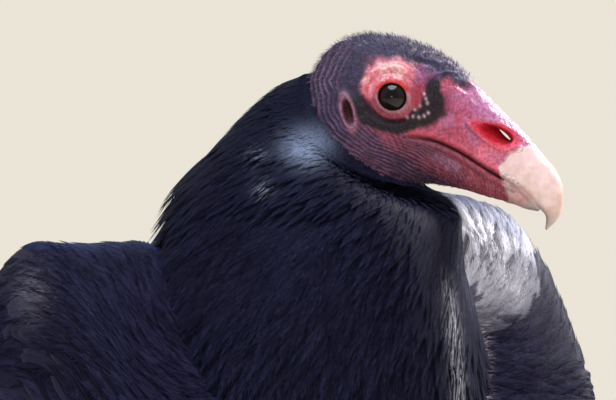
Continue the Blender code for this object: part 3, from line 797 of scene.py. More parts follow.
# %% Wing and thigh tables
WING_RINGS = [
    (0, -80, 284, 0, -114, 232, -90, 0.55, 82, 2.8, 2.2, 0),  # wrist
    (0, -52, 311, 0, -120, 211, -90, 0.50, 97, 5.0, 2.3, 0),
    (0, -14, 314, 0, -104, 186, -90, 0.50, 103, 7.0, 2.3, 0),
    (0, 34, 298, 0, -66, 151, -90, 0.50, 114, 3.4, 2.3, 0),
    (0, 97, 260, 0, 4, 123, -90, 0.50, 114, 2.3, 2.2, 0),
    (0, 162, 210, 0, 90, 98, -90, 0.50, 94, 2.2, 2.1, 0),
    (0, 231, 158, 0, 182, 80, -90, 0.48, 69, 2.1, 2.0, 0),
    (0, 307, 112, 0, 278, 62, -90, 0.45, 46, 2.0, 2.0, 0),
    (0, 388, 66, 0, 374, 42, -90, 0.40, 28, 2.0, 2.0, 0),  # tip
]
UPPER_EDGE = np.array([46, 66, 77, 82, 84, 86, 87, 87, 87.0])[:, None]
# the wing's edges, as angles of its rings
LOWER_EDGE = np.array([-50, -58, -58, -46, -34, -22, -6, 8, 20.0])[:, None]
LEFT_WING_SHIFT = np.array([-5, -7, 5.0])  # the left shoulder is pushed in and up by the turn of the neck
LEFT_SHOULDER_RISE = np.array([-4, 0, 16.0])  # and its upper edge is drawn up
# stations of the thigh from the hip down: x, y, z, half width, half depth
THIGH = [
    (40, 14, 190, 30, 42), (42, 20, 150, 29, 38), (41, 32, 112, 22, 27), (38, 42, 82, 13, 15),
    (37, 46, 69, 8, 8.5)
]


def wing_shell(t, across, depth, side):
    """The folded wing at ring number t, from its upper edge (across 0) to its lower (1). side is 1 left,
    -1 right."""
    upper, lower = smooth(UPPER_EDGE, t)[..., 0], smooth(LOWER_EDGE, t)[..., 0]
    p = below_surface(WING_RINGS, t, upper + (lower - upper) * across, depth)
    if side > 0:
        raised = (1 - eased(t, 0.8, 2.8)) * (1 - eased(across, 0.15, 0.8))
        return p + LEFT_WING_SHIFT * (1 - eased(t, 1, 6))[..., None] + LEFT_SHOULDER_RISE * raised[..., None]
    corner = 4.2 * hump(across - 0.15, 0.08) * hump(t - 2.05, 0.5)
    return p * (-1, 1, 1) + UP * corner[..., None]


# %% [markdown]
# Thighs, forearms and shanks are tubes, closed by a fan of triangles at both ends. A limb's rings stand at
# right angles to its bent path.

# %% Tubes


def limb(rows, stops, columns, side=1, inset=0.0):
    """A closed tube through stations (x, y, z, half width, half depth), its rings at right angles to the
    path."""
    k = smooth(rows, stops)
    path = k[:, :3] * (side, 1, 1)
    ahead = unit(np.gradient(path, axis=0))
    across = unit(np.cross(ahead, np.array([0, 1, 0.0]) + 0 * ahead))
    deep = np.cross(across, ahead)
    angle = np.linspace(0, 2 * np.pi, columns, endpoint=False)[None, :, None]
    radii = np.maximum(k[:, None, 3:5] - inset, 1)
    return (
        path[:, None] + across[:, None] * radii[..., :1] * np.cos(angle)
        + deep[:, None] * radii[..., 1:] * np.sin(angle)
    )


def tube(grid):
    """A grid of rings as points, quads, and the triangles that close its two ends."""
    rows, columns = grid.shape[:2]
    points = np.concatenate([grid.reshape(-1, 3), grid[[0, -1]].mean(axis=1)])
    j = np.arange(columns)
    k, last, end = (j + 1) % columns, (rows - 1) * columns, rows * columns
    caps = np.concatenate([
        np.stack([k, j, 0 * j + end], -1), np.stack([last + j, last + k, 0 * j + end + 1], -1)
    ])
    quads = grid_quads(rows, columns, True)
    corners = points[np.concatenate([quads[:, :3], quads[:, [0, 2, 3]], caps])]
    if np.linalg.det(corners - points.mean(axis=0)).sum() < 0:
        quads, caps = quads[:, ::-1], caps[:, ::-1]
    return points, quads, caps


def join(parts):
    """Several (points, quads, triangles) as one."""
    first = np.cumsum([0] + [len(part[0]) for part in parts[:-1]])
    return [
        np.concatenate([part[i] + (start if i else 0) for part, start in zip(parts, first)]) for i in range(3)
    ]


# %% [markdown]
# Two halves that meet at a slot have the same edge twice. Points at the same place are made one, so the skin
# closes.

# %% Parts into one


def merged(points, quads, caps, paint):
    """Points at the same place made one, so both halves of the nostril share its edge. Unused points are
    dropped."""
    _, first, again = np.unique(points.round(4), axis=0, return_index=True, return_inverse=True)
    corners = np.concatenate([quads.ravel(), caps.ravel()])
    used, renumbered = np.unique(first[again.reshape(-1)][corners], return_inverse=True)
    quads, caps = renumbered[: quads.size].reshape(-1, 4), renumbered[quads.size :].reshape(-1, 3)
    return points[used], quads, caps, paint[used]


# %% [markdown]
# The rings of the coat are moved in along their own normals by the coat's depth, and the head's grid follows
# on. The nostril's quads are left out, so the two sides meet round an open slit. Thighs and forearms are
# closed tubes that start inside the body.

# %% Skin
BODY_STOPS = np.linspace(0.0, 8.7, 38)


def body_under_coat():
    """The body's skin on the grid of BODY_STOPS and HEAD_TURNS."""
    stops, turns = np.meshgrid(BODY_STOPS, HEAD_TURNS, indexing="ij")
    coat = on_rings(BODY_ROWS, stops, turns)
    outward = unit(np.cross(np.gradient(coat, axis=0), np.gradient(coat, axis=1)))
    if (outward * (coat - ring_centre(smooth(BODY_ROWS, stops)))).sum() < 0:
        outward = -outward
    return coat - outward * np.interp(stops, np.arange(10), COAT_DEPTH)[..., None]


def forearm(side):
    """A pad of flesh under the coverts: the wing's shell at two depths, closed into a tube."""
    t, across = np.meshgrid(np.linspace(0.9, 2.5, 14), np.linspace(0.12, 0.84, 16), indexing="ij")
    outer, inner = wing_shell(t, across, 10 + 0 * t, side), wing_shell(t, across, 23 - 8 * across, side)
    return tube(np.concatenate([outer, inner[:, ::-1]], axis=1))


body_skin = body_under_coat()
skin_slot = np.concatenate([np.full(body_skin.shape[:2], 9.0), HEAD_SLOT]).ravel()
skin_paint = np.concatenate([np.broadcast_to(np.array(PLUMAGE_DARK), body_skin.shape), HEAD_PAINT])
points, quads, caps = tube(np.concatenate([body_skin, in_head(HEAD_GRID)]))
quads = quads[(skin_slot[quads] > NOSTRIL_CORE - 0.02).all(axis=1)]
islands = [tube(limb(THIGH, np.linspace(0, 4, 24), 40, side, 7)) for side, _ in SIDES]
islands += [forearm(side) for side, _ in SIDES]
island_paint = np.broadcast_to(np.array(PLUMAGE_DARK), (sum(len(island[0]) for island in islands), 3))
paint = np.concatenate([skin_paint.reshape(-1, 3), [PLUMAGE_DARK, IVORY], island_paint])
points, quads, caps, paint = merged(*join([(points, quads, caps), *islands]), paint)
print("skin:", len(points), "points,", len(quads), "quads")


# %% [markdown]
# Bare skin lets light in by a millimetre or two and gives it back redder. Its fine grain is cells and noise
# in the shader, far below the size of a fold, and the dark plumage-covered parts are duller than the face.

# %% Skin finish


def by_paint(tree, own, dark_and_pale, results):
    """A number that goes from the first result on dark paint to the second on pale paint."""
    change = add(tree, "ShaderNodeMapRange", Value=own)
    for label, value in zip(("From Min", "From Max", "To Min", "To Max"), (*dark_and_pale, *results)):
        change.inputs[label].default_value = value
    return change.outputs["Result"]


def skin_finish():
    """Living skin: light goes a millimetre or two into it, so shadows in the folds turn red."""
    material, tree, shader = new_finish(
        "living skin", Roughness=0.42, Subsurface_Weight=0.22, Subsurface_Scale=0.0011,
        Specular_IOR_Level=0.42
    )
    shader.inputs["Subsurface Radius"].default_value = (1.0, 0.35, 0.25)
    own = own_paint(tree)
    blotch = ramp(tree, grain(tree, 1000, 5), (0.36, (0.56, 0.53, 0.58)), (0.62, (1.0, 1.0, 1.0)))
    tree.links.new(blend(tree, "MULTIPLY", 1.0, own, blotch)[0].outputs[2], shader.inputs["Base Color"])
    tree.links.new(by_paint(tree, own, (0.02, 0.18), (0.68, 0.42)), shader.inputs["Roughness"])
    cells = (
        add(tree, "ShaderNodeTexVoronoi", Vector=(add(tree, "ShaderNodeTexCoord"), "Object"), Scale=1500),
        "Distance"
    )
    first = bump(tree, cells, 0.35, 0.0003)
    second = bump(tree, grain(tree, 700, 5), 0.5, 0.0005)
    tree.links.new(first.outputs[0], second.inputs["Normal"])
    tree.links.new(second.outputs[0], shader.inputs["Normal"])
    return material


skin = make_piece("skin", points, quads, skin_finish(), caps, paint)
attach(skin, "root")
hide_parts("trunk", "neck", "head", "jaw", "thigh_l", "thigh_r")
print("skin triangles:", COUNTS["skin"])

# %% [markdown]
# ## Eyes
# Each eye is a wet ball between the lids. The iris of this bird is almost black, so most of what shows is the
# pupil's edge and the light on the cornea. The ball is a grid of rings round the eye's own axis, coloured by
# the distance from that axis, and its clear coat does the shining.

# %% Eyeballs


def eyeball(side):
    """Rings round the eye's axis, the cornea standing 5% proud, coloured by the distance from the axis."""
    angle = np.radians(np.linspace(0, 180, 60))[:, None]
    around = np.radians(np.arange(72) * 5.0)[None, :]
    cornea = 1 + 0.05 * hump(np.degrees(angle), 33)
    directions = np.sin(angle) * np.cos(around), np.cos(angle) + 0 * around, np.sin(angle) * np.sin(around)
    x, y, z = (EYE_RADIUS * cornea * direction for direction in directions)
    grid = np.stack([x + EYE_AT[0], side * (y + EYE_AT[1]), z + EYE_AT[2]], axis=-1)
    reach = np.hypot(x, z)
    iris = 0.75 + 0.35 * noise(np.stack([around * 9 + 0 * reach, reach * 0.8, 0 * x], -1), 1, 5)
    paint = np.broadcast_to(np.array((0.014, 0.007, 0.005)), (*x.shape, 3)) * iris[..., None]
    paint = over(paint, 1 - eased(reach, 2.2, 2.5), (0.002, 0.002, 0.002))
    paint = over(paint, eased(reach, 4.2, 4.7), (0.006, 0.004, 0.004))
    points, quads, caps = tube(in_head(grid))
    paint = np.concatenate([paint.reshape(-1, 3), paint[[0, -1]].mean(axis=1)])
    return points, quads, caps, paint


wet, wet_tree, wet_shader = new_finish(
    "wet eye", Roughness=0.10, Coat_Weight=0.5, Coat_Roughness=0.01, IOR=1.2
)
wet_tree.links.new(own_paint(wet_tree)[0].outputs["Color"], wet_shader.inputs["Base Color"])
for side, letter in SIDES:
    points, quads, caps, paint = eyeball(side)
    eye = make_piece(f"eyeball_{letter}", points, quads, wet, caps, paint)
    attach(eye, "root")
    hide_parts(f"eye_{letter}")
print("eyeballs:", COUNTS["eyeball_l"], "triangles each")

# %% [markdown]
# ## Bill
# The horn caps the bones of both jaws. It grows from the soft cere forward, so its faint bands run across it,
# and dirt and wear stain the tip. The upper cap hooks down over the lower one.

# %% Horn
UPPER_BILL_RINGS = [
    (46.5, 8.6, 40.6, -6.6, 0.36, 7.6, 2.2, 5, 0),
    (50, 7.2, 45.4, -6.9, 0.36, 6.9, 2.2, 5, 0),
    (54.6, 5.3, 50, -7.4, 0.36, 6.6, 2.2, 4, 0),
    (60, 2.9, 54, -8.8, 0.36, 5.9, 2.2, 3.4, 0),
    (64.6, -1, 57.6, -10.1, 0.40, 4.9, 2.1, 3, 0),
    (67.2, -6, 61.6, -11.3, 0.42, 3.8, 2, 2.6, 0),
    (68, -11.4, 64.2, -12.8, 0.44, 2.2, 2, 2.2, 0),
    (66.4, -16.6, 65.6, -16.4, 0.50, 0.5, 2, 2, 0),
]
LOWER_BILL_RINGS = [
    (46, -4, 45.8, -15.1, 0.50, 5.9, 4, 2.3, 0),
    (53, -4.5, 52, -13.9, 0.50, 5, 4, 2.3, 0),
    (58, -6.5, 57, -13.3, 0.50, 4, 3, 2.2, 0),
    (61.4, -10.2, 60.8, -12.2, 0.50, 1.6, 2, 2, 0),
]


def plated(local):
    """Horn over the jaws' cores: near its base it stands 0.25 mm proud of the skin, and dips under it
    behind the edge."""
    s, turn = np.meshgrid(np.linspace(7.2, 9.95, 120), np.arange(240) * 1.5, indexing="ij")
    cores = on_rings(HEAD_ROWS, s, turn).reshape(-1, 3)
    out = surface_axes(HEAD_ROWS, s, turn)[2].reshape(-1, 3)
    flat = local.reshape(-1, 3)
    near = np.flatnonzero(flat[:, 0] < 54)
    nearest = np.concatenate([
        ((flat[part, None] - cores) ** 2).sum(axis=-1).argmin(axis=1) for part in np.array_split(near, 40)
    ])
    height = ((flat[near] - cores[nearest]) * out[nearest]).sum(axis=-1)
    wanted = 0.25 - 0.95 * (1 - ivory_share(flat[near]))
    blend_in = 1 - eased(flat[near, 0], 49.5, 53)
    upper_only = eased(np.abs(height), 2.2, 1.4)  # the side that faces the other jaw stays as it is
    moved = flat.copy()
    moved[near] += out[nearest] * ((wanted - height) * blend_in * upper_only)[:, None]
    return moved.reshape(local.shape)


def horn_cap(name, rings, node, stain_from, tone):
    """One jaw's horn: a closed loft with faint bands across it, stained from stain_from on and grey at the
    tip, with a painted shadow along the line where the upper horn hooks over the lower."""
    rows = [(a, 0, b, c, 0, d, 0, *rest) for a, b, c, d, *rest in rings]
    s, turn = np.meshgrid(np.linspace(0, len(rows) - 1, 76), np.arange(96) * 3.75, indexing="ij")
    local = on_rings(rows, s, turn)
    out = surface_axes(rows, np.clip(s, 0.03, len(rows) - 1.03), turn)[2]
    bands = rough(local * (1, 0.4, 0.4), 2.6, 3, 61)
    local = plated(local + out * (0.08 * bands)[..., None])
    x, z = local[..., 0], local[..., 2]
    red_specks = eased(rough(local, 2.2, 3, 69), 0.0, 0.7) * eased(-z, 6.5, 9.5) * (1 - eased(x, 55, 59))
    paint = layered(
        np.array(IVORY) * tone * (1 + 0.05 * bands)[..., None],
        (0.5 * eased(-z, -4, 8) * eased(rough(local, 5, 3, 66), 0.0, 0.9), (0.62, 0.40, 0.30)),
        (0.6 * red_specks, (0.46, 0.13, 0.10)),
        # painted shadow along the line where the upper horn hooks over the lower
        (0.7 * stroke(x, z, [(42, -6.4), (49, -7.6), (54, -9.2), (61, -11.8)], 0.7), (0.22, 0.10, 0.09)),
        (0.45 * eased(x, stain_from, stain_from + 14) * eased(-z, 2, 12), (0.44, 0.33, 0.27)),
        (0.75 * eased(s, len(rows) - 2.7, len(rows) - 1.3), (0.36, 0.31, 0.31)),
    )
    points, quads, caps = tube(in_head(local))
    paint = np.concatenate([paint.reshape(-1, 3), paint[[0, -1]].mean(axis=1)])
    piece = make_piece(name, points, quads, horn, caps, paint)
    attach(piece, "root")
    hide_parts(node)


horn, horn_tree, horn_shader = new_finish(
    "ivory horn", Roughness=0.34, Subsurface_Weight=0.25, Subsurface_Scale=0.002, Coat_Weight=0.15,
    Coat_Roughness=0.3
)
horn_paint = own_paint(horn_tree)
horn_spots = ramp(horn_tree, grain(horn_tree, 420, 5), (0.35, (0.80, 0.74, 0.68)), (0.6, (1.0, 1.0, 1.0)))
horn_tree.links.new(
    blend(horn_tree, "MULTIPLY", 0.6, horn_paint, horn_spots)[0].outputs[2], horn_shader.inputs["Base Color"]
)
horn_tree.links.new(
    bump(horn_tree, grain(horn_tree, 600, 4), 0.3, 0.0003).outputs[0], horn_shader.inputs["Normal"]
)
horn_cap("horn_upper", UPPER_BILL_RINGS, "bill_upper", 56, (1, 1, 1))
horn_cap("horn_lower", LOWER_BILL_RINGS, "bill_lower", 50, (0.70, 0.60, 0.62))
print("bill:", COUNTS["horn_upper"] + COUNTS["horn_lower"], "triangles")

# %% [markdown]
# ## Laying feathers
# Feathers follow the body: each starts at the skin and its tip rests on the coat's surface. So a feather is
# drawn once, flat, and then read through the surface: along the body for its length and round it for its
# width. The surface is measured once on a fine grid, and thousands of feathers are laid in one step.

# %% Surveys
CHANCE = np.random.default_rng(41)


def survey(point_at, u_ends, v_ends, counts, inside):
    """A surface measured on a fine grid: points, outward directions, millimetres per step of v, and the way
    walked in u.

    With it comes the reverse table: which u is reached after walking so many millimetres down a column.
    """
    u, v = (np.linspace(*ends, n) for ends, n in zip((u_ends, v_ends), counts))
    p = point_at(*np.meshgrid(u, v, indexing="ij"))
    du, dv = np.gradient(p, u, axis=0), np.gradient(p, v, axis=1)
    out = unit(np.cross(dv, du))
    outward = (out * (p - inside(u)[:, None])).sum() > 0
    walked = np.concatenate([
        0 * u[:1, None] + 0 * v, np.cumsum(np.linalg.norm(np.diff(p, axis=0), axis=-1), axis=0)
    ])[..., None]
    longest = walked.max()
    reached = np.stack(
        [np.interp(np.linspace(0, longest, len(u)), walked[:, j, 0], u) for j in range(len(v))], axis=1
    )[..., None]
    table = np.concatenate(
        [p, out if outward else -out, np.linalg.norm(dv, axis=-1, keepdims=True), walked], axis=-1
    )
    return (u_ends, v_ends, table), ((0, longest), v_ends, reached)


def look_up(entry, u, v):
    """The four nearest grid values mixed."""
    (u0, u1), (v0, v1), table = entry
    rows, columns = table.shape[:2]
    i = np.clip((u - u0) / (u1 - u0) * (rows - 1), 0, rows - 1.001)
    j = np.clip((v - v0) / (v1 - v0) * (columns - 1), 0, columns - 1.001)
    a, b = i.astype(int), j.astype(int)
    f, g = (i - a)[..., None], (j - b)[..., None]
    return (
        (table[a, b] * (1 - g) + table[a, b + 1] * g) * (1 - f)
        + (table[a + 1, b] * (1 - g) + table[a + 1, b + 1] * g) * f
    )


def read(surface, u, v):
    """Points, outward directions, millimetres per step of v, and the way walked, at places (u, v)."""
    mixed = look_up(surface[0], u, v)
    return mixed[..., :3], unit(mixed[..., 3:6]), mixed[..., 6], mixed[..., 7]


def walk(surface, u, v, way):
    """The u reached from (u, v) after so many millimetres along the column, back or forth."""
    return look_up(surface[1], read(surface, u, v)[3] + way, v)[..., 0]


COAT_END = 9.35  # the coat runs on a little over the head's first rings, where the collar sinks to the skin


# %% [markdown]
# Each surface below is a function of two numbers again: the body's coat, a folded wing's outside, the closed
# tail's top, the thighs and the bare head.

# %% Surfaces that carry feathers


def trunk_coat(t, turn):
    """The plumage's surface, carried on straight beyond the tail root and drawn in to the bare skin at the
    ruff."""
    beyond = np.minimum(t, 0)[..., None]
    start = on_rings(BODY_ROWS, np.clip(t, 0, 9), turn)
    start = start + beyond * (on_rings(BODY_ROWS, 0.1 + 0 * t, turn) - on_rings(BODY_ROWS, 0 * t, turn)) / 0.1
    s = np.maximum(t - 9, 0)
    bare = on_rings(HEAD_ROWS, s, turn)
    middle = ring_centre(smooth(HEAD_ROWS, s))
    swell = 1 + (COLLAR - 1) * (1 - eased(s, 0, COAT_END - 9))[..., None]
    return np.where(s[..., None] > 0, in_head(middle + (bare - middle) * swell), start)


def wing_coat(side):
    """The folded wing's outside, rounded in at its wrist. Below 0 it carries on over the blunt front
    towards the body."""

    def point_at(t, across):
        rounded = 11 * (1 - np.sqrt(1 - np.clip(1 - t / 0.5, 0, 1) ** 2))
        return wing_shell(np.maximum(t, 0), across, rounded - 50 * np.minimum(t, 0), side)

    return point_at


TAIL_LENGTH, TAIL_SLOPE, TAIL_ROOT = 268.0, math.radians(-30), np.array([0, 136, 170.0])


def tail_fan(u, v):
    """The top of the closed tail: u from root to tip, v from one edge to the other. It is highest in the
    middle."""
    length = TAIL_LENGTH * (1 - 0.10 * v**2) * u
    half = 15 + 30 * eased(u, 0, 0.95)
    back = np.array([0, math.cos(TAIL_SLOPE), math.sin(TAIL_SLOPE)])
    up = np.array([0, -math.sin(TAIL_SLOPE), math.cos(TAIL_SLOPE)])
    drop = 8 * v**2 * (0.4 + 0.6 * u)
    return (
        TAIL_ROOT + length[..., None] * back + (half * v)[..., None] * np.array([-1.0, 0, 0])
        - drop[..., None] * up
    )


def thigh_coat(side):
    """The outside of a thigh: its tube, read at the nearest of 240 columns."""

    def point_at(u, angle):
        grid = limb(THIGH, u[:, 0], 240, side)
        grid = np.concatenate([grid, grid[:, :1]], axis=1)
        return grid[:, np.round(angle[0] / 1.5).astype(int)]

    return point_at


def head_skin(s, _):
    """The finished head, read at the nearest of its own rings; its columns are taken as they are."""
    rows = np.interp(s[:, 0], HEAD_STOPS, np.arange(len(HEAD_STOPS)))
    grid = in_head(np.concatenate([HEAD_GRID, HEAD_GRID[:, :1]], axis=1))
    return grid[np.round(rows).astype(int)]


# %% [markdown]
# A direction counts as outward when it leads away from the middle of its ring, so each survey is told where
# that is.

# %% Measuring them


def wing_middle(t):
    """The middle of the wing's ring t."""
    return ring_centre(smooth(np.array(WING_RINGS, float), t))


def thigh_middle(side):
    """The path inside a thigh, as a function of the station."""
    return lambda u: smooth(THIGH, u)[:, :3] * (side, 1, 1)


BODY = survey(trunk_coat, (-1.0, COAT_END), (0, 360), (561, 361), lambda t: ring_centre(smooth(BODY_ROWS, t)))
WINGS = {
    side: survey(wing_coat(side), (-0.5, 8), (-0.12, 1.08), (426, 121), wing_middle) for side, _ in SIDES
}
TAIL = survey(tail_fan, (0, 1), (-1.1, 1.1), (101, 111), lambda u: TAIL_ROOT - (0, 0, 300) + 0 * u[:, None])
THIGHS = {
    side: survey(thigh_coat(side), (0, 4), (0, 360), (121, 241), thigh_middle(side)) for side, _ in SIDES
}
HEAD = survey(head_skin, (0, 10), (0, 360), (401, 301), lambda u: in_head(ring_centre(smooth(HEAD_ROWS, u))))
print("surveys made; the longest way down the body is", BODY[1][0][1].round(), "mm")

# %% [markdown]
# ## Feathers as drawings
# A body feather is loose: its barbs stand apart and sweep back from the shaft, so a coat of them looks
# combed. A wing feather is firm: its barbs hook together into one vane with a raised shaft.

# %% Drawings of feathers


def outline(a, blunt=0.5):
    """Half the width of a feather at share a of its length: narrow at the root, blunt at the tip."""
    return np.clip(np.sin(np.pi * np.clip(a, 0, 1) ** 0.72), 0, 1) ** blunt


def loose_feather(per_side=13):
    """Barbs as tapering strips. a runs to the tip, b across, c is which barb and d how far along it."""
    start = np.linspace(0.02, 0.80, per_side)[:, None]
    m = np.array([0, 0.5, 1.0])[None, :]
    end = start + 0.40 * (1 - 0.52 * start)
    a = start + (end - start) * m
    b = (outline(end, 0.75) * 0.98 + 0.06) * m**0.72
    half = np.array([0.070, 0.085, 0.0])[None, :]
    wide_a, wide_b = 0.014 * half / 0.06, half * (0.8 + 0.4 * (1 - start))
    left, right = np.stack([a - wide_a, b + wide_b], -1), np.stack([a + wide_a, b - wide_b], -1)
    # root, middle, root, middle, tip
    corners = np.concatenate([left[:, :2], right[:, :2], left[:, 2:]], axis=1)
    along = np.broadcast_to(np.array([0, 0.5, 0, 0.5, 1.0]), corners.shape[:2])
    barb = np.broadcast_to(np.arange(per_side)[:, None], corners.shape[:2])
    flat = [np.concatenate([x, x]) for x in (corners[..., 0], corners[..., 1], barb, along)]
    flat[1] = np.concatenate([corners[..., 1], -corners[..., 1]])
    flat[2] = np.concatenate([barb, barb + per_side])
    n = np.arange(2 * per_side)[:, None] * 5
    quads = (n + np.array([0, 1, 3, 2])).reshape(-1, 4)
    tips = (n + np.array([1, 4, 3])).reshape(-1, 3)
    turned_over = np.arange(2 * per_side) >= per_side
    quads[turned_over], tips[turned_over] = quads[turned_over][:, ::-1], tips[turned_over][:, ::-1]
    return [x.ravel().astype(float) for x in flat], quads, tips


def firm_feather(rows=12, columns=9, blunt=0.42):
    """One vane as a sheet: its grid is drawn in towards the shaft at the root and rounded at the tip."""
    a, b = np.meshgrid(np.linspace(0.0, 1.0, rows), np.linspace(-1, 1, columns), indexing="ij")
    wide = np.maximum(outline(a * 0.985, blunt), 0.08)
    return (
        [x.ravel() for x in (a - 0.05 * np.abs(b) ** 2 * (1 - a), b * wide, b, a)],
        grid_quads(rows, columns, False)[:, ::-1], np.zeros((0, 3), int)
    )


LOOSE, FIRM = loose_feather(), firm_feather()
print("a loose feather has", len(LOOSE[1]) * 2 + len(LOOSE[2]), "triangles, a firm one", len(FIRM[1]) * 2)


# %% [markdown]
# A drawing becomes thousands of feathers by reading the surface at every point of every feather at once.
# Roots stand in staggered rows, like tiles, since that is how they grow: in tracts, each covering the gap of
# the row before.

# %% Laying and spacing


def lay(surface, drawing, u, v, length, half, low, high, sweep=0.0, cup=0.10, ahead=1, shaft=0.0, lift=0.62):
    """Feathers rooted at places (u, v): length and half width in millimetres, low and high the root's and
    tip's height.

    A point at share a of the length and b of the half width is read at u + a * length and v + b * half, both
    turned into steps of the surface. Its height rises from low to high as a to the power lift, less cup *
    half * b squared.
    """
    (a, b, _, _), quads, triangles = drawing
    a_in = np.maximum(a, 0)
    places_u = walk(surface, u[:, None] + 0 * a, v[:, None] + 0 * a, ahead * a * length[:, None])
    per_mm = 1 / np.maximum(read(surface, places_u, v[:, None] + 0 * a)[2], 0.05)
    places_v = v[:, None] + (b * half[:, None] + a_in**1.3 * (sweep * length)[:, None]) * per_mm
    if surface is BODY or surface is HEAD:
        places_v = places_v % 360
    p, out, _, _ = read(surface, places_u, places_v)
    height = (
        low[:, None] + (high - low)[:, None] * a_in**lift - cup * half[:, None] * b**2
        + shaft * hump(b, 0.10) * (1 - a)
    )
    first = np.arange(len(u))[:, None, None] * len(a)
    return p + out * height[..., None], (quads + first).reshape(-1, 4), (triangles + first).reshape(-1, 3)


def rows_on(surface, u_from, u_to, v_from, v_to, length_at, width_share, row_share=0.18, side_share=0.45):
    """Roots in staggered rows. A row's step is a share of the feathers' length, the step along it a share of
    their width.

    A row is a line of constant u. Where rows lie close together, on the inside of a bend, they are thinned by
    chance.
    """
    u, found, v = u_from, [], np.linspace(v_from, v_to, 240)
    while (u - u_from) * (u_to - u) >= 0:
        size_v = read(surface, u + 0 * v, v)[2]
        length = length_at(u + 0 * v, v)
        per_u = np.abs(read(surface, u + 0.02 + 0 * v, v)[3] - read(surface, u - 0.02 + 0 * v, v)[3]) / 0.04
        step = row_share * length.mean() / np.percentile(per_u, 80)
        density = (
            size_v / (2 * width_share * length * side_share)
            * np.clip(per_u * step / (row_share * length), 0.05, 1.5)
        )
        total = np.concatenate([[0], np.cumsum((density[1:] + density[:-1]) / 2 * (v[1] - v[0]))])
        n = max(int(round(total[-1])), 2)
        marks = (
            (np.arange(n) + (0.5 if len(found) % 2 else 0.0) + CHANCE.uniform(-0.25, 0.25, n)) % n / n
            * total[-1]
        )
        found.append(np.stack([u + CHANCE.uniform(-0.4, 0.4, n) * step, np.interp(marks, total, v)]))
        u += np.sign(u_to - u_from) * step
    u, v = np.concatenate(found, axis=1)
    return np.clip(u, min(u_from, u_to), max(u_from, u_to)), v


# %% [markdown]
# ## Colour of the plumage
# Old feathers are black-brown, fresh ones blue-black. The coat is dark navy with small pale tufts here and
# there, a pale grey streak by the breast's edge that is a painted highlight, a little white down behind the
# head, and brown edges rubbed paler on the wings. Painted reflections of the sky lie along the wings' upper
# edges, and a painted highlight lies on the left shoulder. Every barb has its own shade.

# %% Plumage paint and finish
EYE_FRONT = in_head([0.6, -18.5, 0.6])
SEEN_FROM = math.radians(33)  # the bird is looked at from this far to the right of its front
ACROSS = np.array([math.cos(SEEN_FROM), -math.sin(SEEN_FROM), 0])  # to the right, as it is seen
AWAY = np.array([math.sin(SEEN_FROM), math.cos(SEEN_FROM), 0])  # away from the one who looks


def seen_at(p):
    """How far to the right of the near eye a point is seen, how far above it and how far beyond it, in
    millimetres."""
    d = p - EYE_FRONT
    return d @ ACROSS, d[..., 2], d @ AWAY


PALE_TUFTS = ((-46, -20), (-44, -31.5), (-58, -8))  # small pale tufts on the neck: right of the eye, above it


def coat_paint(p, drawing, shade):
    """Navy, mixed with grey-violet where a painted highlight of glints streaks the breast's edge; a share of
    it by feather, a share by barb.
    """
    a, _, c, _ = drawing[0]
    barbs = CHANCE.uniform(-1, 1, (len(p), int(c.max()) + 1))[:, c.astype(int)] if c.max() > 1.5 else 0
    tone = np.clip(1 + 0.18 * shade[:, None] + 0.40 * barbs, 0.35, 2.2)
    colour = np.array((0.0064, 0.0060, 0.0145)) * tone[..., None]
    right, above, far = seen_at(p)
    near = far < 75
    # painted highlight: a streak of pale grey glints near the right edge of the breast
    painted_glint = near * hump(right - 20.4 + 0.10 * (above + 80), 2.4) * eased(-above, 56, 70)
    down = near * hump((right + 29) / 7, 1.0) * hump((above + 17) / 6, 1.0)
    colour = layered(
        colour,
        (0.6 * painted_glint * np.clip(0.3 + 0.9 * barbs, 0, 1) * eased(a, 0.1, 0.6), (0.40, 0.40, 0.45)),
        (0.55 * down, (0.36, 0.43, 0.58)),
    )
    for x, z in PALE_TUFTS:
        tuft = near * hump(np.hypot(right - x, above - z), 2.8) * (barbs > 0.2)
        colour = over(colour, 0.4 * tuft, (0.32, 0.34, 0.40))
    rim = 0.22 * eased(a, 0.8, 1.0) * (0.5 + 0.5 * shade[:, None])
    return over(colour, rim, (0.025, 0.035, 0.085))


# %% [markdown]
# Keratin has a soft sheen. There are three finishes: dull for loose plumage, firmer for vanes, and a glossy
# one for the smooth feathers of the left shoulder, which shine when light strikes them low.

# %% Plumage finish


def plumage_finish(name, roughness, streaks, sheen, level=0.15, shine=(0.55, 0.62, 1.0)):
    """Dark keratin: the paint times hair-fine streaks along the barbs, with a soft bluish sheen at grazing
    light."""
    material, tree, shader = new_finish(
        name, Roughness=roughness, Specular_IOR_Level=level, Sheen_Weight=sheen, Sheen_Roughness=0.35
    )
    shader.inputs["Sheen Tint"].default_value = (0.42, 0.52, 1.0, 1)
    shader.inputs["Specular Tint"].default_value = (*shine, 1)
    own = own_paint(tree)
    place_on = add(tree, "ShaderNodeUVMap", uv_map="vane")
    stretch = add(tree, "ShaderNodeMapping", Vector=(place_on, "UV"))
    stretch.inputs["Scale"].default_value = streaks
    fibres = add(tree, "ShaderNodeTexNoise", Vector=(stretch, "Vector"), Scale=1.0, Detail=3.0), "Fac"
    streaked = ramp(tree, fibres, (0.30, (0.45, 0.45, 0.50)), (0.70, (1.5, 1.5, 1.5)))
    tree.links.new(blend(tree, "MULTIPLY", 1.0, own, streaked)[0].outputs[2], shader.inputs["Base Color"])
    tree.links.new(bump(tree, fibres, 0.35, 0.0004).outputs[0], shader.inputs["Normal"])
    if level > 0.5:  # the smooth, greyer feathers shine, the rest are matt
        tree.links.new(by_paint(tree, own, (0.008, 0.055), (0.80, roughness)), shader.inputs["Roughness"])
    return material


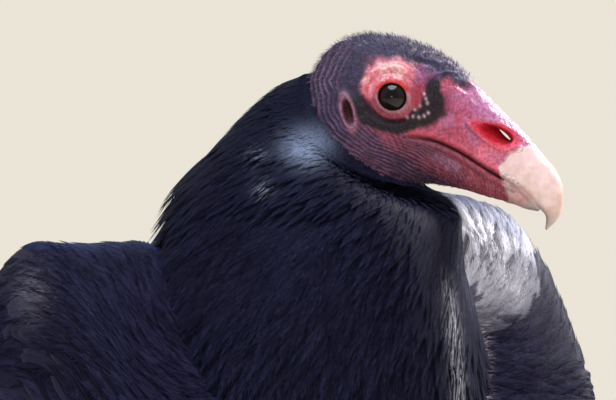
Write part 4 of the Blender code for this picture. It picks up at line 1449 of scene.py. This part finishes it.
def feather_maps(drawing, u, v):
    """OFBake: a patch 0.003 across at the root's own place. vane: along and across the barbs, for the
    streaks."""
    a, b, c, d = drawing[0]
    home = np.stack([u, v], axis=-1)[:, None]
    patch = np.stack([np.clip(b, -1.2, 1.2) * 0.0012, (a - 0.5) * 0.003], axis=-1)
    across = (c - c.min()) / (c.max() - c.min()) * 0.9 + 0.05 + 0.02 * (b - np.round(b))
    fringe = np.stack([across, d * 0.9 + 0.05], axis=-1)
    jog = 0.04 * CHANCE.random((len(u), 1, 2))
    return {"OFBake": np.clip(home, 0.004, 0.996) + patch, "vane": np.clip(fringe + jog, 0, 1)}


# %% [markdown]
# Long lists of feathers are cut into several pieces, each light enough to handle.

# %% Feathers into pieces
TRIANGLES_IN_A_PIECE = 190000


def dress(name, laid, paint, maps, material, nodes=()):
    """Feathers as objects of under 200,000 triangles each."""
    points, quads, triangles = laid
    n = len(points)
    each = (2 * len(quads) + len(triangles)) // n
    most = TRIANGLES_IN_A_PIECE // each
    for i, start in enumerate(range(0, n, most)):
        part = slice(start, min(start + most, n))
        count = part.stop - start
        label = name if n <= most else f"{name}_{i + 1}"
        some_quads = quads[: count * (len(quads) // n)]
        some_triangles = triangles[: count * (len(triangles) // n)]
        some_maps = {key: uv[part] for key, uv in maps.items()}
        piece = make_piece(label, points[part], some_quads, material, some_triangles, paint[part], some_maps)
        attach(piece, "root")
        if nodes:
            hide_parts(*nodes)
    print(name, n, "feathers,", n * each, "triangles")


SOFT = plumage_finish("loose plumage", 0.50, (240, 3, 1), 0.05, 0.04)
STIFF = plumage_finish("firm vanes", 0.48, (9, 130, 1), 0.03)
SHOULDER = plumage_finish("glossy shoulder", 0.34, (240, 3, 1), 0.06, 0.9, (0.86, 0.86, 1.0))

# %% [markdown]
# ## The coat of the body
# Feathers are smallest where the ruff meets the bare head and longest on the flanks. They are laid from the
# head back in rows like tiles, each a little askew, and the coat swells and parts over a width of two or
# three centimetres, as loose plumage does.

# %% Body feathers
LENGTHS = [46, 46, 46, 44, 42, 40, 36, 30, 22, 13]


def from_side_line(turn):
    """0 on both side lines, 90 on the back, -90 on the belly."""
    return np.degrees(np.arcsin(np.sin(np.radians(turn))))


def lumps(p, t, turn):
    """Where the coat stands proud and where it parts, in millimetres."""
    right, above, far = seen_at(p)
    near = eased(75 - far, 0, 20)
    breast = eased(right, 8, 24) * eased(-above, 28, 36) * (1 - eased(-above, 68, 88))
    swell = 2.2 * rough(p, 38, 2, 71) - 5.0 * near * breast
    from_side = from_side_line(turn)
    mantle = 8 * eased(from_side, -60, -35) * (1 - eased(from_side, 8, 30))
    mantle = mantle + 3.5 * eased(from_side, 8, 30) * (1 - eased(from_side, 45, 70))
    swell = swell + hump(t - 5.3, 0.75) * mantle
    lobe_edge = -42 - 0.0022 * (right + 36) ** 2
    lobe = near * 2.5 * eased(above - lobe_edge, -2, 3) * hump(right + 36, 26) * eased(-above, 14, 24)
    swell = swell + lobe
    cleft = -24 + 0.05 * (above + 45)
    parting = near * 4.5 * hump(right - cleft, 4.0) * eased(-above, 46, 54) * (1 - eased(-above, 66, 76))
    swell = swell - parting
    throat = 3.5 * eased(t, 8.1, 8.8) * hump(turn - 245, 45)
    swell = swell + 4.2 * hump(right + 77, 11) * hump(above + 40, 13) * near
    return swell * np.interp(t, [0, 7.6, 8.6, 9], [1, 1, 0.5, 0]) + throat


def body_length(t, _):
    """The same all round the body."""
    return np.interp(t, np.arange(10), LENGTHS)


u, v = rows_on(BODY, 0.15, COAT_END, 0, 360, body_length, 0.13, 0.11, 0.46)
fringe = np.repeat([9.04, 9.12, 9.2, 9.28, COAT_END - 0.01], 210)  # a close fringe along the ruff's edge
u = np.concatenate([u, fringe + CHANCE.uniform(-0.04, 0.0, len(fringe))])
v = np.concatenate([v, CHANCE.uniform(0, 360, len(fringe))])
from_side = from_side_line(v)
wing_from = np.interp(u, [0.8, 2, 3], [-8, -22, -38])
under_wing = (u > 0.8) & (u < 4.6) & (from_side < 66) & (from_side > wing_from)
u, v = u[~under_wing], v[~under_wing]
length = body_length(u, v) * CHANCE.uniform(0.85, 1.15, len(u))
depth = np.interp(u, [*range(10), COAT_END], [*COAT_DEPTH, 0.2])
tip_t = walk(BODY, u, v, -length)
tip = read(BODY, tip_t, v)[0]
high = np.clip(lumps(tip, tip_t, v), -6.5, 12)
high = high + CHANCE.uniform(-0.5, 0.4, len(u)) * np.interp(u, [0, 8, 9], [1, 0.8, 0.4])
sweep = CHANCE.normal(0, 0.05, len(u))
laid = lay(BODY, LOOSE, u, v, length, length * 0.14, -depth, high, sweep, ahead=-1, lift=0.42)
shade = CHANCE.uniform(-1, 1, len(u))
dress(
    "body_feathers", laid, coat_paint(laid[0], LOOSE, shade), feather_maps(LOOSE, v / 360, u / COAT_END),
    SOFT
)

# %% [markdown]
# ## Thighs
# Short trousers of loose feathers hang from each thigh to the heel.

# %% Thigh feathers
for side, letter in SIDES:
    u, v = rows_on(THIGHS[side], 0.0, 3.7, 0, 360, lambda u, v: 30 - 3 * u, 0.2, 0.2, 0.5)
    length = (30 - 3 * u) * CHANCE.uniform(0.85, 1.15, len(u))
    length = np.minimum(length, read(THIGHS[side], 4.0 + 0 * u, v)[3] - read(THIGHS[side], u, v)[3] + 1)
    high, sweep = CHANCE.uniform(-1.0, 1.0, len(u)), CHANCE.normal(0, 0.08, len(u))
    laid = lay(THIGHS[side], LOOSE, u, v, length, length * 0.22, -6 + 0 * u, high, sweep, cup=0.16)
    paint = coat_paint(laid[0], LOOSE, CHANCE.uniform(-1, 1, len(u)))
    dress(f"thigh_feathers_{letter}", laid, paint, feather_maps(LOOSE, v / 360, u / 4), SOFT)

# %% [markdown]
# ## Wings
# A folded wing is a stack of fans. Rows of coverts, small at the wrist and long behind, hide the roots of the
# secondaries, and these lie on the primaries. Each flight feather is a long closed vane about half a
# millimetre thick, its shaft standing proud, and each lies a little under the one above it.

# %% Coverts


def covert_length(t, across):
    """Short at the wrist and long behind, and longer towards the upper edge."""
    return (
        np.interp(t, [0, 0.6, 1.4, 2.4, 3.4], [24, 32, 42, 52, 60]) * (1.15 - 0.3 * eased(across, 0.1, 0.5))
    )


def wing_gloss(p):
    """Where the left wing's shoulder is smooth, so that it shines, and where its paint is lightened as a
    painted
    highlight: 1 inside the patch, 0 outside."""
    right, above, far = seen_at(p)
    patch = hump(right - 37 - 0.15 * (above + 60), 18) * eased(-above, 20, 36)
    patch = patch * (1 - eased(-above + 0.55 * right + 6 * rough(p, 14, 2, 58), 90, 100))
    return patch * (1 - eased(far, 72, 104)) * (1 - 0.9 * sky_reflection_rim(p))


def sky_reflection_rim(p):
    """The left wing's upper rim, painted blue-black as a painted reflection of the sky."""
    right, above, far = seen_at(p)
    return (
        eased(above + 31.5 + 0.68 * (right - 22), -5, -2) * (1 - eased(right, 44, 52))
        * (1 - eased(far, 72, 104))
    )


def left_shoulder(colour, p, barbs):
    """The left wing's rim with its painted blue reflection of the sky, its glossy patch lightened as a
    painted highlight, and rusty barbs along the edge that meets the breast."""
    right, above, far = seen_at(p)
    streaks = 0.62 + 0.45 * rough(p * (1, 1, 0.6), 13, 2, 55)
    rusty = hump(right - 31.5, 2.0) * eased(-above, 72, 82) * (far < 24) * eased(barbs, -0.3, 0.6)
    return layered(
        colour,
        # painted reflection of the sky along the upper rim
        (0.8 * sky_reflection_rim(p), (0.016, 0.030, 0.095)),
        # painted highlight: the glossy patch lightened in streaks
        (wing_gloss(p) * np.clip(0.10 + 0.9 * streaks + 0.06 * barbs, 0, 1), (0.075, 0.070, 0.095)),
        (0.6 * rusty, (0.42, 0.34, 0.38)),
    )


def right_shoulder(colour, p, barbs):
    """The right wing's small greyish brush, and a bluish band along its upper edge that is a painted
    reflection of the sky.
    """
    right, above, _ = seen_at(p)
    brush = hump(right + 122, 6) * hump(above + 66, 9)
    return layered(
        colour,
        (brush * np.clip(0.16 + 0.14 * barbs, 0, 1), (0.30, 0.28, 0.33)),
        # painted reflection of the sky along the wing's upper edge
        (0.35 * eased(above, -54, -49) * (right < -70), (0.03, 0.05, 0.14)),
    )


def wing_paint(p, drawing, shade, side=-1):
    """Brown-black, lighter on one half of the vane or by barb, with paler rubbed edges and a paler shaft."""
    a, b, c, _ = drawing[0]
    loose = c.max() > 1.5
    barbs = CHANCE.uniform(-1, 1, (len(p), int(c.max()) + 1))[:, c.astype(int)] if loose else 0.4 * (b > 0)
    tone = 1 + 0.30 * shade[:, None] + 0.35 * barbs
    colour = np.array((0.0098, 0.0090, 0.0215)) * tone[..., None]
    colour = left_shoulder(colour, p, barbs) if side > 0 else right_shoulder(colour, p, barbs)
    edge = (eased(np.abs(c), 0.78, 1.0) + eased(a, 0.93, 1.0)) * (not loose)
    return layered(
        colour,
        (np.clip(edge, 0, 1) * (0.25 + 0.2 * shade[:, None]), (0.040, 0.037, 0.046)),
        (0.5 * hump(b, 0.045) * (1 - a), (0.022, 0.019, 0.022)),
    )


# %% [markdown]
# The coverts lie in rows across the wing, loose ones first and firm ones behind.

# %% Laying the coverts


def lay_coverts(name, side, letter, drawing, finish, u_from, u_to, share, row_share, side_share, sink):
    """Rows of coverts. On the left shoulder the glossy ones are a piece of their own, with their own
    finish."""
    wing = WINGS[side]
    u, v = rows_on(wing, u_from, u_to, -0.06, 1.03, covert_length, share, row_share, side_share)
    if side > 0 and drawing is LOOSE:
        glossy = wing_gloss(read(wing, u, v)[0]) > 0.25
        kept = glossy if finish is SHOULDER else ~glossy
        u, v = u[kept], v[kept]
    length = covert_length(u, v) * CHANCE.uniform(0.9, 1.12, len(u))
    length = np.minimum(length, read(wing, np.interp(v, [0, 1], [4.5, 3.5]), v)[3] - read(wing, u, v)[3])
    high, sweep = CHANCE.uniform(-0.6, 0.4, len(u)) - sink, CHANCE.normal(0, 0.06, len(u))
    laid = lay(wing, drawing, u, v, length, length * share, -4.6 + 0 * u, high, sweep, 0.06, 1, 0.12, 0.5)
    paint = wing_paint(laid[0], drawing, CHANCE.uniform(-1, 1, len(u)), side)
    nodes = [f"wing_{letter}_coverts"] if drawing is FIRM else ()
    dress(
        f"{name}_{letter}", laid, paint, feather_maps(drawing, v * 0.85 + 0.07, u / 4), finish,
        nodes
    )


for side, letter in SIDES:
    lay_coverts("lesser_coverts", side, letter, LOOSE, SOFT, -0.48, 1.9, 0.16, 0.11, 0.48, 1.0)
    lay_coverts("coverts", side, letter, FIRM, STIFF, 1.3, 3.3, 0.20, 0.17, 0.62, 1.2)
lay_coverts("glossy_coverts", 1, "l", LOOSE, SHOULDER, -0.48, 1.9, 0.16, 0.11, 0.48, 1.0)

# %% [markdown]
# Flight feathers are closed vanes, so they have an upper and an under side. They are read through the same
# wing surface as the coverts, each at its own depth, and the tail's twelve lie on the fan of the tail.

# %% Flight feathers


def long_vane(rows=26, columns=11):
    """A closed vane: an upper sheet with a raised shaft and a lower sheet under it, joined all round."""
    (a, b, c, d), quads, _ = firm_feather(rows, columns, 0.30)
    n = len(a)
    rim = np.concatenate([
        np.arange(columns), columns * np.arange(1, rows) + columns - 1, n - 2 - np.arange(columns - 1),
        columns * np.arange(rows - 2, 0, -1)
    ])
    following = np.roll(rim, -1)
    walls = np.stack([rim, following, following + n, rim + n], axis=-1)
    both = np.concatenate([quads, quads[:, ::-1] + n, walls])
    return [np.tile(x, 2) for x in (a, b, c, d)], both, np.zeros((0, 3), int)


VANE = long_vane()
UNDER = np.repeat([0, 1], len(VANE[0][0]) // 2)


def flight_feathers(surface, start, end, middle, half, depth, tilt, thick=0.5):
    """Long feathers from u = start to end about v = middle, half a width wide in v, at a depth that grows
    by tilt across."""
    (a, b, _, _), quads, _ = VANE
    u = start[:, None] + (end - start)[:, None] * a
    v = middle[:, None] + b * half[:, None]
    p, out, _, _ = read(surface, u, v)
    shaft = 0.45 * hump(b + 0.2, 0.07) * (1 - UNDER) * (1.1 - a)
    height = -depth[:, None] - tilt * (1 - b) / 2 - 0.25 * b**2 + shaft - thick * UNDER
    first = np.arange(len(start))[:, None, None] * len(a)
    return p + out * height[..., None], (quads + first).reshape(-1, 4), np.zeros((0, 3), int)


for side, letter in SIDES:
    for name, count, ends, start, depth in (
        ("secondaries", 12, np.linspace(6.4, 5.2, 6), 2.4, 3.4),
        ("primaries", 6, [6.9, 7.3, 7.6, 7.85, 8.0, 7.8], 2.6, 9.0),
    ):
        middle = (np.arange(count) + 0.5) / count
        last = np.interp(middle, (np.arange(6) + 0.5) / 6, ends)
        half = 0.5 / count * 1.45 + 0 * middle
        depths = depth + 0.06 * np.arange(count) % 2
        laid = flight_feathers(WINGS[side], start + 0 * middle, last, middle, half, depths, 1.6)
        paint = wing_paint(laid[0], VANE, CHANCE.uniform(-1, 1, count), side)
        maps = feather_maps(VANE, middle * 0.9 + 0.05, 0.5 + 0 * middle)
        dress(f"{name}_{letter}", laid, paint, maps, STIFF, [f"wing_{letter}_{name}"])

middle = np.linspace(-1, 1, 12) * 0.86
laid = flight_feathers(
    TAIL, 0 * middle, 0.985 + 0 * middle, middle, 0.15 + 0 * middle, 2.4 * np.abs(middle), 0.0
)
paint = wing_paint(laid[0], VANE, CHANCE.uniform(-1, 1, 12))
maps = feather_maps(VANE, middle * 0.4 + 0.5, 0.5 + 0 * middle)
dress("tail_feathers", laid, paint, maps, STIFF, ["tail"])

# %% [markdown]
# ## Bristles
# The crown and nape carry a thin fuzz of short hair-like feathers, and fewer and shorter ones stand on the
# black skin before the eye. Each is a sliver of two triangles.

# %% Fuzz
n = 20000
s, turn = CHANCE.uniform(0.0, 6.4, n), CHANCE.uniform(0, 360, n)
root, out, _, _ = read(HEAD, s, turn)
ahead = unit(read(HEAD, s + 0.1, turn)[0] - read(HEAD, s - 0.1, turn)[0])
local = (root - HEAD_AT) @ HEAD_AXES.T
x, z = local[:, 0], local[:, 2]
crown = eased(z, 6, 14) * (1 - eased(x, 12, 22))
nape = 1 - eased(x, -14, -6)
dark_skin = stroke(x, z, [(10.4, 10.8), (13.5, 5.5), (14, 1), (8, -5.6), (2, -8.4), (-8.8, -6.6)], 3.0)
throat = eased(-z, 13, 18) * 0.7
wanted = (
    np.maximum.reduce([crown, nape * 0.6, dark_skin * 0.6, throat * 0.5]) * eased(lid_distance(x, z), 7, 8.5)
)
wanted = wanted * (1 - stroke(x, z, [(-7.6, 0), (-8.2, 4), (-6.3, 7.6), (-3, 9.8), (1.5, 10.4)], 3.5))
keep = CHANCE.random(n) < wanted
root, out, ahead, x, z, n = root[keep], out[keep], ahead[keep], x[keep], z[keep], int(keep.sum())
length = CHANCE.uniform(0.9, 2.2, n) * (0.45 + 0.75 * eased(z + np.maximum(-x, 0), 4, 18))
lean = unit(
    out * CHANCE.uniform(0.5, 1.1, (n, 1)) - ahead * CHANCE.uniform(0.3, 1.0, (n, 1))
    + CHANCE.normal(0, 0.18, (n, 3))
)
wide = unit(np.cross(lean, CHANCE.normal(0, 1, (n, 3)))) * CHANCE.uniform(0.05, 0.09, (n, 1))
middle_at = root + lean * length[:, None] * 0.5
foot, tip = root - out * 0.2, root + lean * length[:, None] - out * 0.1
slivers = np.stack([foot - wide, foot + wide, middle_at + wide * 0.7, middle_at - wide * 0.7, tip], axis=1)
first = np.arange(n)[:, None] * 5
fuzz_paint = (
    np.broadcast_to(np.array((0.10, 0.08, 0.13)), slivers.shape) * CHANCE.uniform(0.2, 1.9, (n, 1, 1))
)
corners_at = np.array([(-1, -1), (1, -1), (1, 0), (-1, 0), (0, 1)]) * 0.0012
fuzz_maps = {"OFBake": np.clip(np.stack([turn[keep] / 360, s[keep] / 9], -1)[:, None] + corners_at, 0, 1)}
fuzz_finish, fuzz_tree, fuzz_shader = new_finish("fuzz", Roughness=0.45)
fuzz_tree.links.new(own_paint(fuzz_tree)[0].outputs["Color"], fuzz_shader.inputs["Base Color"])
squares, ends = first + np.array([0, 1, 2, 3]), first + np.array([3, 2, 4])
fuzz = make_piece("fuzz", slivers, squares, fuzz_finish, ends, fuzz_paint, fuzz_maps)
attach(fuzz, "root")
print("fuzz:", n, "bristles")

# %% [markdown]
# ## Legs and feet
# The bare leg is covered in horny scales: broad plates in one row down the front of the shank and along the
# top of each toe, small rough ones elsewhere, and soft pads below. Shank, foot and toes are tubes fused on a
# voxel grid into one skin, and the plates are ridges counted along the nearest tube.

# %% Leg tables
# stations of the shank from the heel down: x, y, z, half width, half depth
SHANK = [
    (37, 46.5, 74, 6.5, 7), (37, 46, 62, 6.8, 7.6), (37, 41, 50, 4.8, 5.4), (37, 32, 24, 4.8, 5.2),
    (37, 27, 9, 6.4, 6.2)
]
# number, heading (a fixed part and a part that turns outward on its own side), length, radius
TOES = [(1, 180, -14, 28, 3.7), (2, 0, -36, 42, 3.9), (3, 0, 1, 64, 4.4), (4, 0, 38, 45, 3.9)]
PAD_LEVEL = 0.82  # a toe's centre lies this share of its radius above the floor


def toe_axis(side, fixed, outward):
    """Where a toe starts and which way it points, straight ahead being -y."""
    heading = math.radians(fixed + outward * side)
    return np.array([FOOT_AT[0] * side, FOOT_AT[1], 0]), np.array([math.sin(heading), -math.cos(heading), 0])


def flat_tube(path, radius, columns):
    """A closed tube along a level path, with its underside pressed flat on the floor."""
    ahead = unit(np.gradient(path, axis=0))
    aside = unit(np.cross(ahead, UP))
    other = np.cross(aside, ahead)
    angle = np.linspace(0, 2 * np.pi, columns, endpoint=False)[None, :, None]
    grid = (
        path[:, None]
        + (aside[:, None] * np.cos(angle) + other[:, None] * np.sin(angle)) * radius[:, None, None]
    )
    grid[..., 2] = np.maximum(grid[..., 2], 0)
    return tube(grid)


def toe_tube(side, toe):
    """A toe narrows to its claw and swells three times on the way, at its joints."""
    _, fixed, outward, length, radius = toe
    start, ahead = toe_axis(side, fixed, outward)
    u = np.linspace(0.12, 1, 40)
    r = radius * (1 - 0.3 * u) * (1 + 0.10 * np.cos(u * 6 * np.pi)) * np.sqrt(np.clip((1.03 - u) * 14, 0, 1))
    level = radius * (1 - 0.3 * u) * PAD_LEVEL
    return flat_tube(start + ahead * (length * u)[:, None] + UP * level[:, None], r, 24)


def claw_tube(side, toe):
    """A claw tapers to a point and bends down to the floor."""
    _, fixed, outward, length, radius = toe
    start, ahead = toe_axis(side, fixed, outward)
    f, tip = np.linspace(0, 1, 22), radius * 0.7 * 1.1
    reach = 9 + 0.10 * length
    arch = tip * PAD_LEVEL + 1.6 * f - 2.6 * f * f
    path = start + ahead * (length - 2 + (reach + 2) * f)[:, None] + UP * arch[:, None]
    return flat_tube(path, np.maximum(tip * 0.80 * (1 - f**1.4), 0.12), 18)


# %% [markdown]
# Where tubes run into each other they are fused on a voxel grid. The plates are then read off the nearest
# tube: rings of scales in front, small pebbles behind.

# %% Fusing and scales


def fused(parts, voxel):
    """Closed tubes made one surface on a voxel grid, then smoothed: points of the drawing and quads."""
    points, quads, caps = join(parts)
    raw = make_piece("raw_leg", points, quads, leg_finish, caps)
    remesh = raw.modifiers.new("fuse", "REMESH")
    remesh.mode, remesh.voxel_size = "VOXEL", voxel * MM
    ease = raw.modifiers.new("ease", "SMOOTH")
    ease.factor, ease.iterations = 0.5, 5
    mesh = raw.evaluated_get(bpy.context.evaluated_depsgraph_get()).to_mesh()
    co, corners = np.empty(len(mesh.vertices) * 3, np.float32), np.empty(len(mesh.loops), np.int32)
    mesh.vertices.foreach_get("co", co)
    mesh.loops.foreach_get("vertex_index", corners)
    normals = np.empty(len(mesh.vertices) * 3, np.float32)
    mesh.vertices.foreach_get("normal", normals)
    bpy.data.objects.remove(raw)
    COUNTS.pop("raw_leg")
    return co.reshape(-1, 3) / MM - SHIFT, corners.reshape(-1, 4), normals.reshape(-1, 3)


def scaled(p, normals, side):
    """Plates along the nearest tube: flat, with narrow grooves, on the upper side of toes and the front of
    the shank."""
    nearest, ridge, plate_side = np.full(len(p), 99.0), np.zeros(len(p)), np.zeros(len(p))
    for _, fixed, outward, length, _ in TOES:
        start, ahead = toe_axis(side, fixed, outward)
        along = np.clip((p - start) @ ahead, 9, length)
        away = np.linalg.norm((p - start - along[:, None] * ahead) * (1, 1, 0.6), axis=1)
        here = away < nearest
        nearest, ridge = np.where(here, away, nearest), np.where(here, along / 2.5, ridge)
        plate_side = np.where(here, normals[:, 2], plate_side)
    high = eased(p[:, 2], 10, 14)
    ridge = ridge * (1 - high) + high * p[:, 2] / 3.4
    plate_side = plate_side * (1 - high) - high * normals[:, 1]
    share = eased(plate_side, 0.25, 0.65)
    groove = hump((ridge + 0.06 * noise(p, 5, 81)) % 1 - 0.5, 0.13)
    pebble = np.abs(noise(p, 1.5, 83)) ** 0.5
    sole = eased(p[:, 2], 0.1, 1.2)
    height = (0.25 - 0.5 * groove) * share + (0.30 * pebble - 0.15) * (1 - share)
    return p + normals * height[:, None] * sole[:, None], groove * share, pebble


leg_finish, leg_tree, leg_shader = new_finish("scaly leg", Roughness=0.62)
leg_paint = own_paint(leg_tree)
leg_spots = ramp(leg_tree, grain(leg_tree, 500, 5), (0.3, (0.6, 0.55, 0.55)), (0.65, (1.0, 1.0, 1.0)))
leg_colour = blend(leg_tree, "MULTIPLY", 0.8, leg_paint, leg_spots)
leg_tree.links.new(leg_colour[0].outputs[2], leg_shader.inputs["Base Color"])
leg_tree.links.new(
    bump(leg_tree, grain(leg_tree, 1400, 4), 0.4, 0.0003).outputs[0], leg_shader.inputs["Normal"]
)
claw_finish, claw_tree, claw_shader = new_finish("claw horn", Roughness=0.35)
claw_colour = ramp(
    claw_tree, grain(claw_tree, 160, 4), (0.3, (0.018, 0.014, 0.013)), (0.75, (0.075, 0.062, 0.055))
)
claw_tree.links.new(claw_colour[0].outputs[0], claw_shader.inputs["Base Color"])

# %% [markdown]
# Each leg is fused from its shank, the ball of the foot and four toes, then gets its plates and its paint:
# horn yellow-pink, darker in the grooves. The claws stay apart, because their horn is hard and shiny.

# %% Legs


def foot_ball(side):
    """The pad where the toes meet: a round body whose rings stand across the foot, flat where it meets the
    floor."""
    y = np.linspace(-0.98, 0.98, 15)[:, None]
    angle = np.linspace(0, 2 * np.pi, 32, endpoint=False)[None, :]
    round_off = np.sqrt(1 - y * y)
    x = FOOT_AT[0] * side + 11.5 * round_off * np.cos(angle)
    z = 6.4 + 7.5 * round_off * np.sin(angle)
    return tube(np.stack([x, FOOT_AT[1] + 11.0 * y + 0 * angle, np.maximum(z, 0)], axis=-1))


for side, letter in SIDES:
    parts = [
        tube(limb(SHANK, np.linspace(0, 4, 50), 28, side)), foot_ball(side),
        *(toe_tube(side, toe) for toe in TOES)
    ]
    points, quads, normals = fused(parts, 0.7)
    points, groove, pebble = scaled(points, normals, side)
    points[:, 2] = np.maximum(points[:, 2], 0)
    paint = (
        np.broadcast_to(np.array((0.46, 0.29, 0.26)), points.shape)
        * (1 + 0.22 * rough(points, 12, 3, 91))[:, None]
    )
    paint = over(paint, 0.45 * eased(rough(points, 9, 3, 93), 0.1, 0.8), (0.62, 0.56, 0.52))
    paint = over(paint, 0.75 * groove + 0.35 * (1 - pebble), (0.13, 0.075, 0.07))
    leg = make_piece(f"leg_skin_{letter}", points, quads, leg_finish, paint=paint)
    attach(leg, "root")
    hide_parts(f"shank_{letter}", f"foot_{letter}", *(f"toe_{letter}_{toe[0]}" for toe in TOES))
    points, quads, caps = join([claw_tube(side, toe) for toe in TOES])
    claws = make_piece(f"claws_{letter}", points, quads, claw_finish, caps)
    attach(claws, "root")
    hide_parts(*(f"claw_{letter}_{toe[0]}" for toe in TOES))
    print("leg", letter, COUNTS[f"leg_skin_{letter}"], "triangles, claws", COUNTS[f"claws_{letter}"])

# %% [markdown]
# ## Light, floor and camera
# The head is seen from its right side and a little from the front, by a long lens at the height of the eyes.
# A warm light comes from beyond the bird's face, a soft bluish one from above, and the near side lies in open
# shade. The lamp called gloss of the sun only shows in shiny surfaces: it lights up the smooth feathers of
# the left shoulder and the ridge of the bill. The floor is plain.

# %% Studio
floor_ring = np.radians(np.arange(96) * 3.75)
floor_radii = np.array([1.0, 400.0, 1200.0, 2600.0])[:, None, None]
floor_grid = floor_radii * np.stack([np.cos(floor_ring), np.sin(floor_ring), 0 * floor_ring], axis=-1)
floor_points = floor_grid.reshape(-1, 3) - SHIFT
plain, _, plain_shader = new_finish("plain floor", Roughness=0.9)
plain_shader.inputs["Base Color"].default_value = (0.62, 0.59, 0.55, 1)
floor = make_piece(
    "floor", floor_points, grid_quads(4, 96, True), plain, [(0, j + 1, j) for j in range(1, 95)]
)

world = bpy.data.worlds.new("pale room")
world.use_nodes = True
room = world.node_tree.nodes["Background"]
room.inputs["Color"].default_value = (0.90, 0.84, 0.74, 1)
seen = add(world.node_tree, "ShaderNodeLightPath")
strength = add(world.node_tree, "ShaderNodeMapRange", Value=(seen, "Is Camera Ray"))
strength.inputs["To Min"].default_value, strength.inputs["To Max"].default_value = 0.40, 0.92
world.node_tree.links.new(strength.outputs["Result"], room.inputs["Strength"])
bpy.context.scene.world = world
bpy.context.scene.view_settings.view_transform = "Standard"


# %% [markdown]
# Lamps and camera are put at a place and turned to look at another.

# %% Aim and lamps


def aim(thing, at, target):
    """Puts a lamp or camera at a place of the drawing and turns it to look at another, with up staying up."""
    ahead = unit(np.asarray(target, float) - at)
    across = unit(np.cross(ahead, UP))
    turned_axes = np.stack([across, np.cross(across, ahead), -ahead], axis=1)
    matrix = np.eye(4)
    matrix[:3, :3], matrix[:3, 3] = turned_axes, place(at)
    thing.matrix_world = Matrix(matrix.tolist())


def lamp(name, at, size, power, colour, glint=True, fills=True):
    """A round lamp turned to the bird. glint: it shows in shiny surfaces. fills: it lights matt ones."""
    data = bpy.data.lights.new(name, "AREA")
    data.shape, data.size, data.energy, data.color = "DISK", size, power, colour
    thing = bpy.data.objects.new(name, data)
    bpy.context.scene.collection.objects.link(thing)
    thing.visible_camera = False
    thing.visible_glossy, thing.visible_diffuse = glint, fills
    aim(thing, np.asarray(at, float), HEAD_AT + BY_THE_HEAD)


BY_THE_HEAD = np.array([0, 40, -120.0])  # lamps are turned a little behind and below the head
lamp("sun side", HEAD_AT + ACROSS * 1300 + AWAY * 900 + UP * 900, 0.5, 56, (1.0, 0.92, 0.82), glint=False)
lamp("glint of the sun", HEAD_AT + ACROSS * 1150 + AWAY * 850 + UP * 1150, 0.4, 14, (1.0, 0.94, 0.88))
lamp(
    "gloss of the sun", HEAD_AT + ACROSS * 1150 + AWAY * 850 + UP * 900, 0.5, 52, (0.98, 0.96, 1.0),
    fills=False
)
lamp("sky", HEAD_AT - ACROSS * 300 - AWAY * 700 + UP * 1700, 1.4, 45, (0.70, 0.80, 1.0))
lamp("room", HEAD_AT + ACROSS * 300 - AWAY * 1900 + UP * 500, 1.8, 20, (1.0, 0.94, 0.92), glint=False)

# %% [markdown]
# A long lens from far away keeps the bill from looking large. The view's middle lies on the neck, below and
# behind the near eye.

# %% Camera
VIEW_MIDDLE = EYE_FRONT - ACROSS * 28.6 - UP * 34.9
VIEW_DISTANCE = 1740
lens = bpy.data.cameras.new("long lens")
lens.lens, lens.sensor_width, lens.clip_start, lens.clip_end = 300, 36, 0.05, 60
camera = bpy.data.objects.new("camera", lens)
bpy.context.scene.collection.objects.link(camera)
bpy.context.scene.camera = camera
aim(camera, VIEW_MIDDLE - AWAY * VIEW_DISTANCE, VIEW_MIDDLE)
print("camera at", [round(v, 3) for v in camera.matrix_world.translation])

# %% [markdown]
# ## Triangle counts
# Last come the triangle counts of all the pieces.

# %% Triangle counts
bpy.context.view_layer.update()
print("pieces:", COUNTS, "in all", sum(COUNTS.values()))
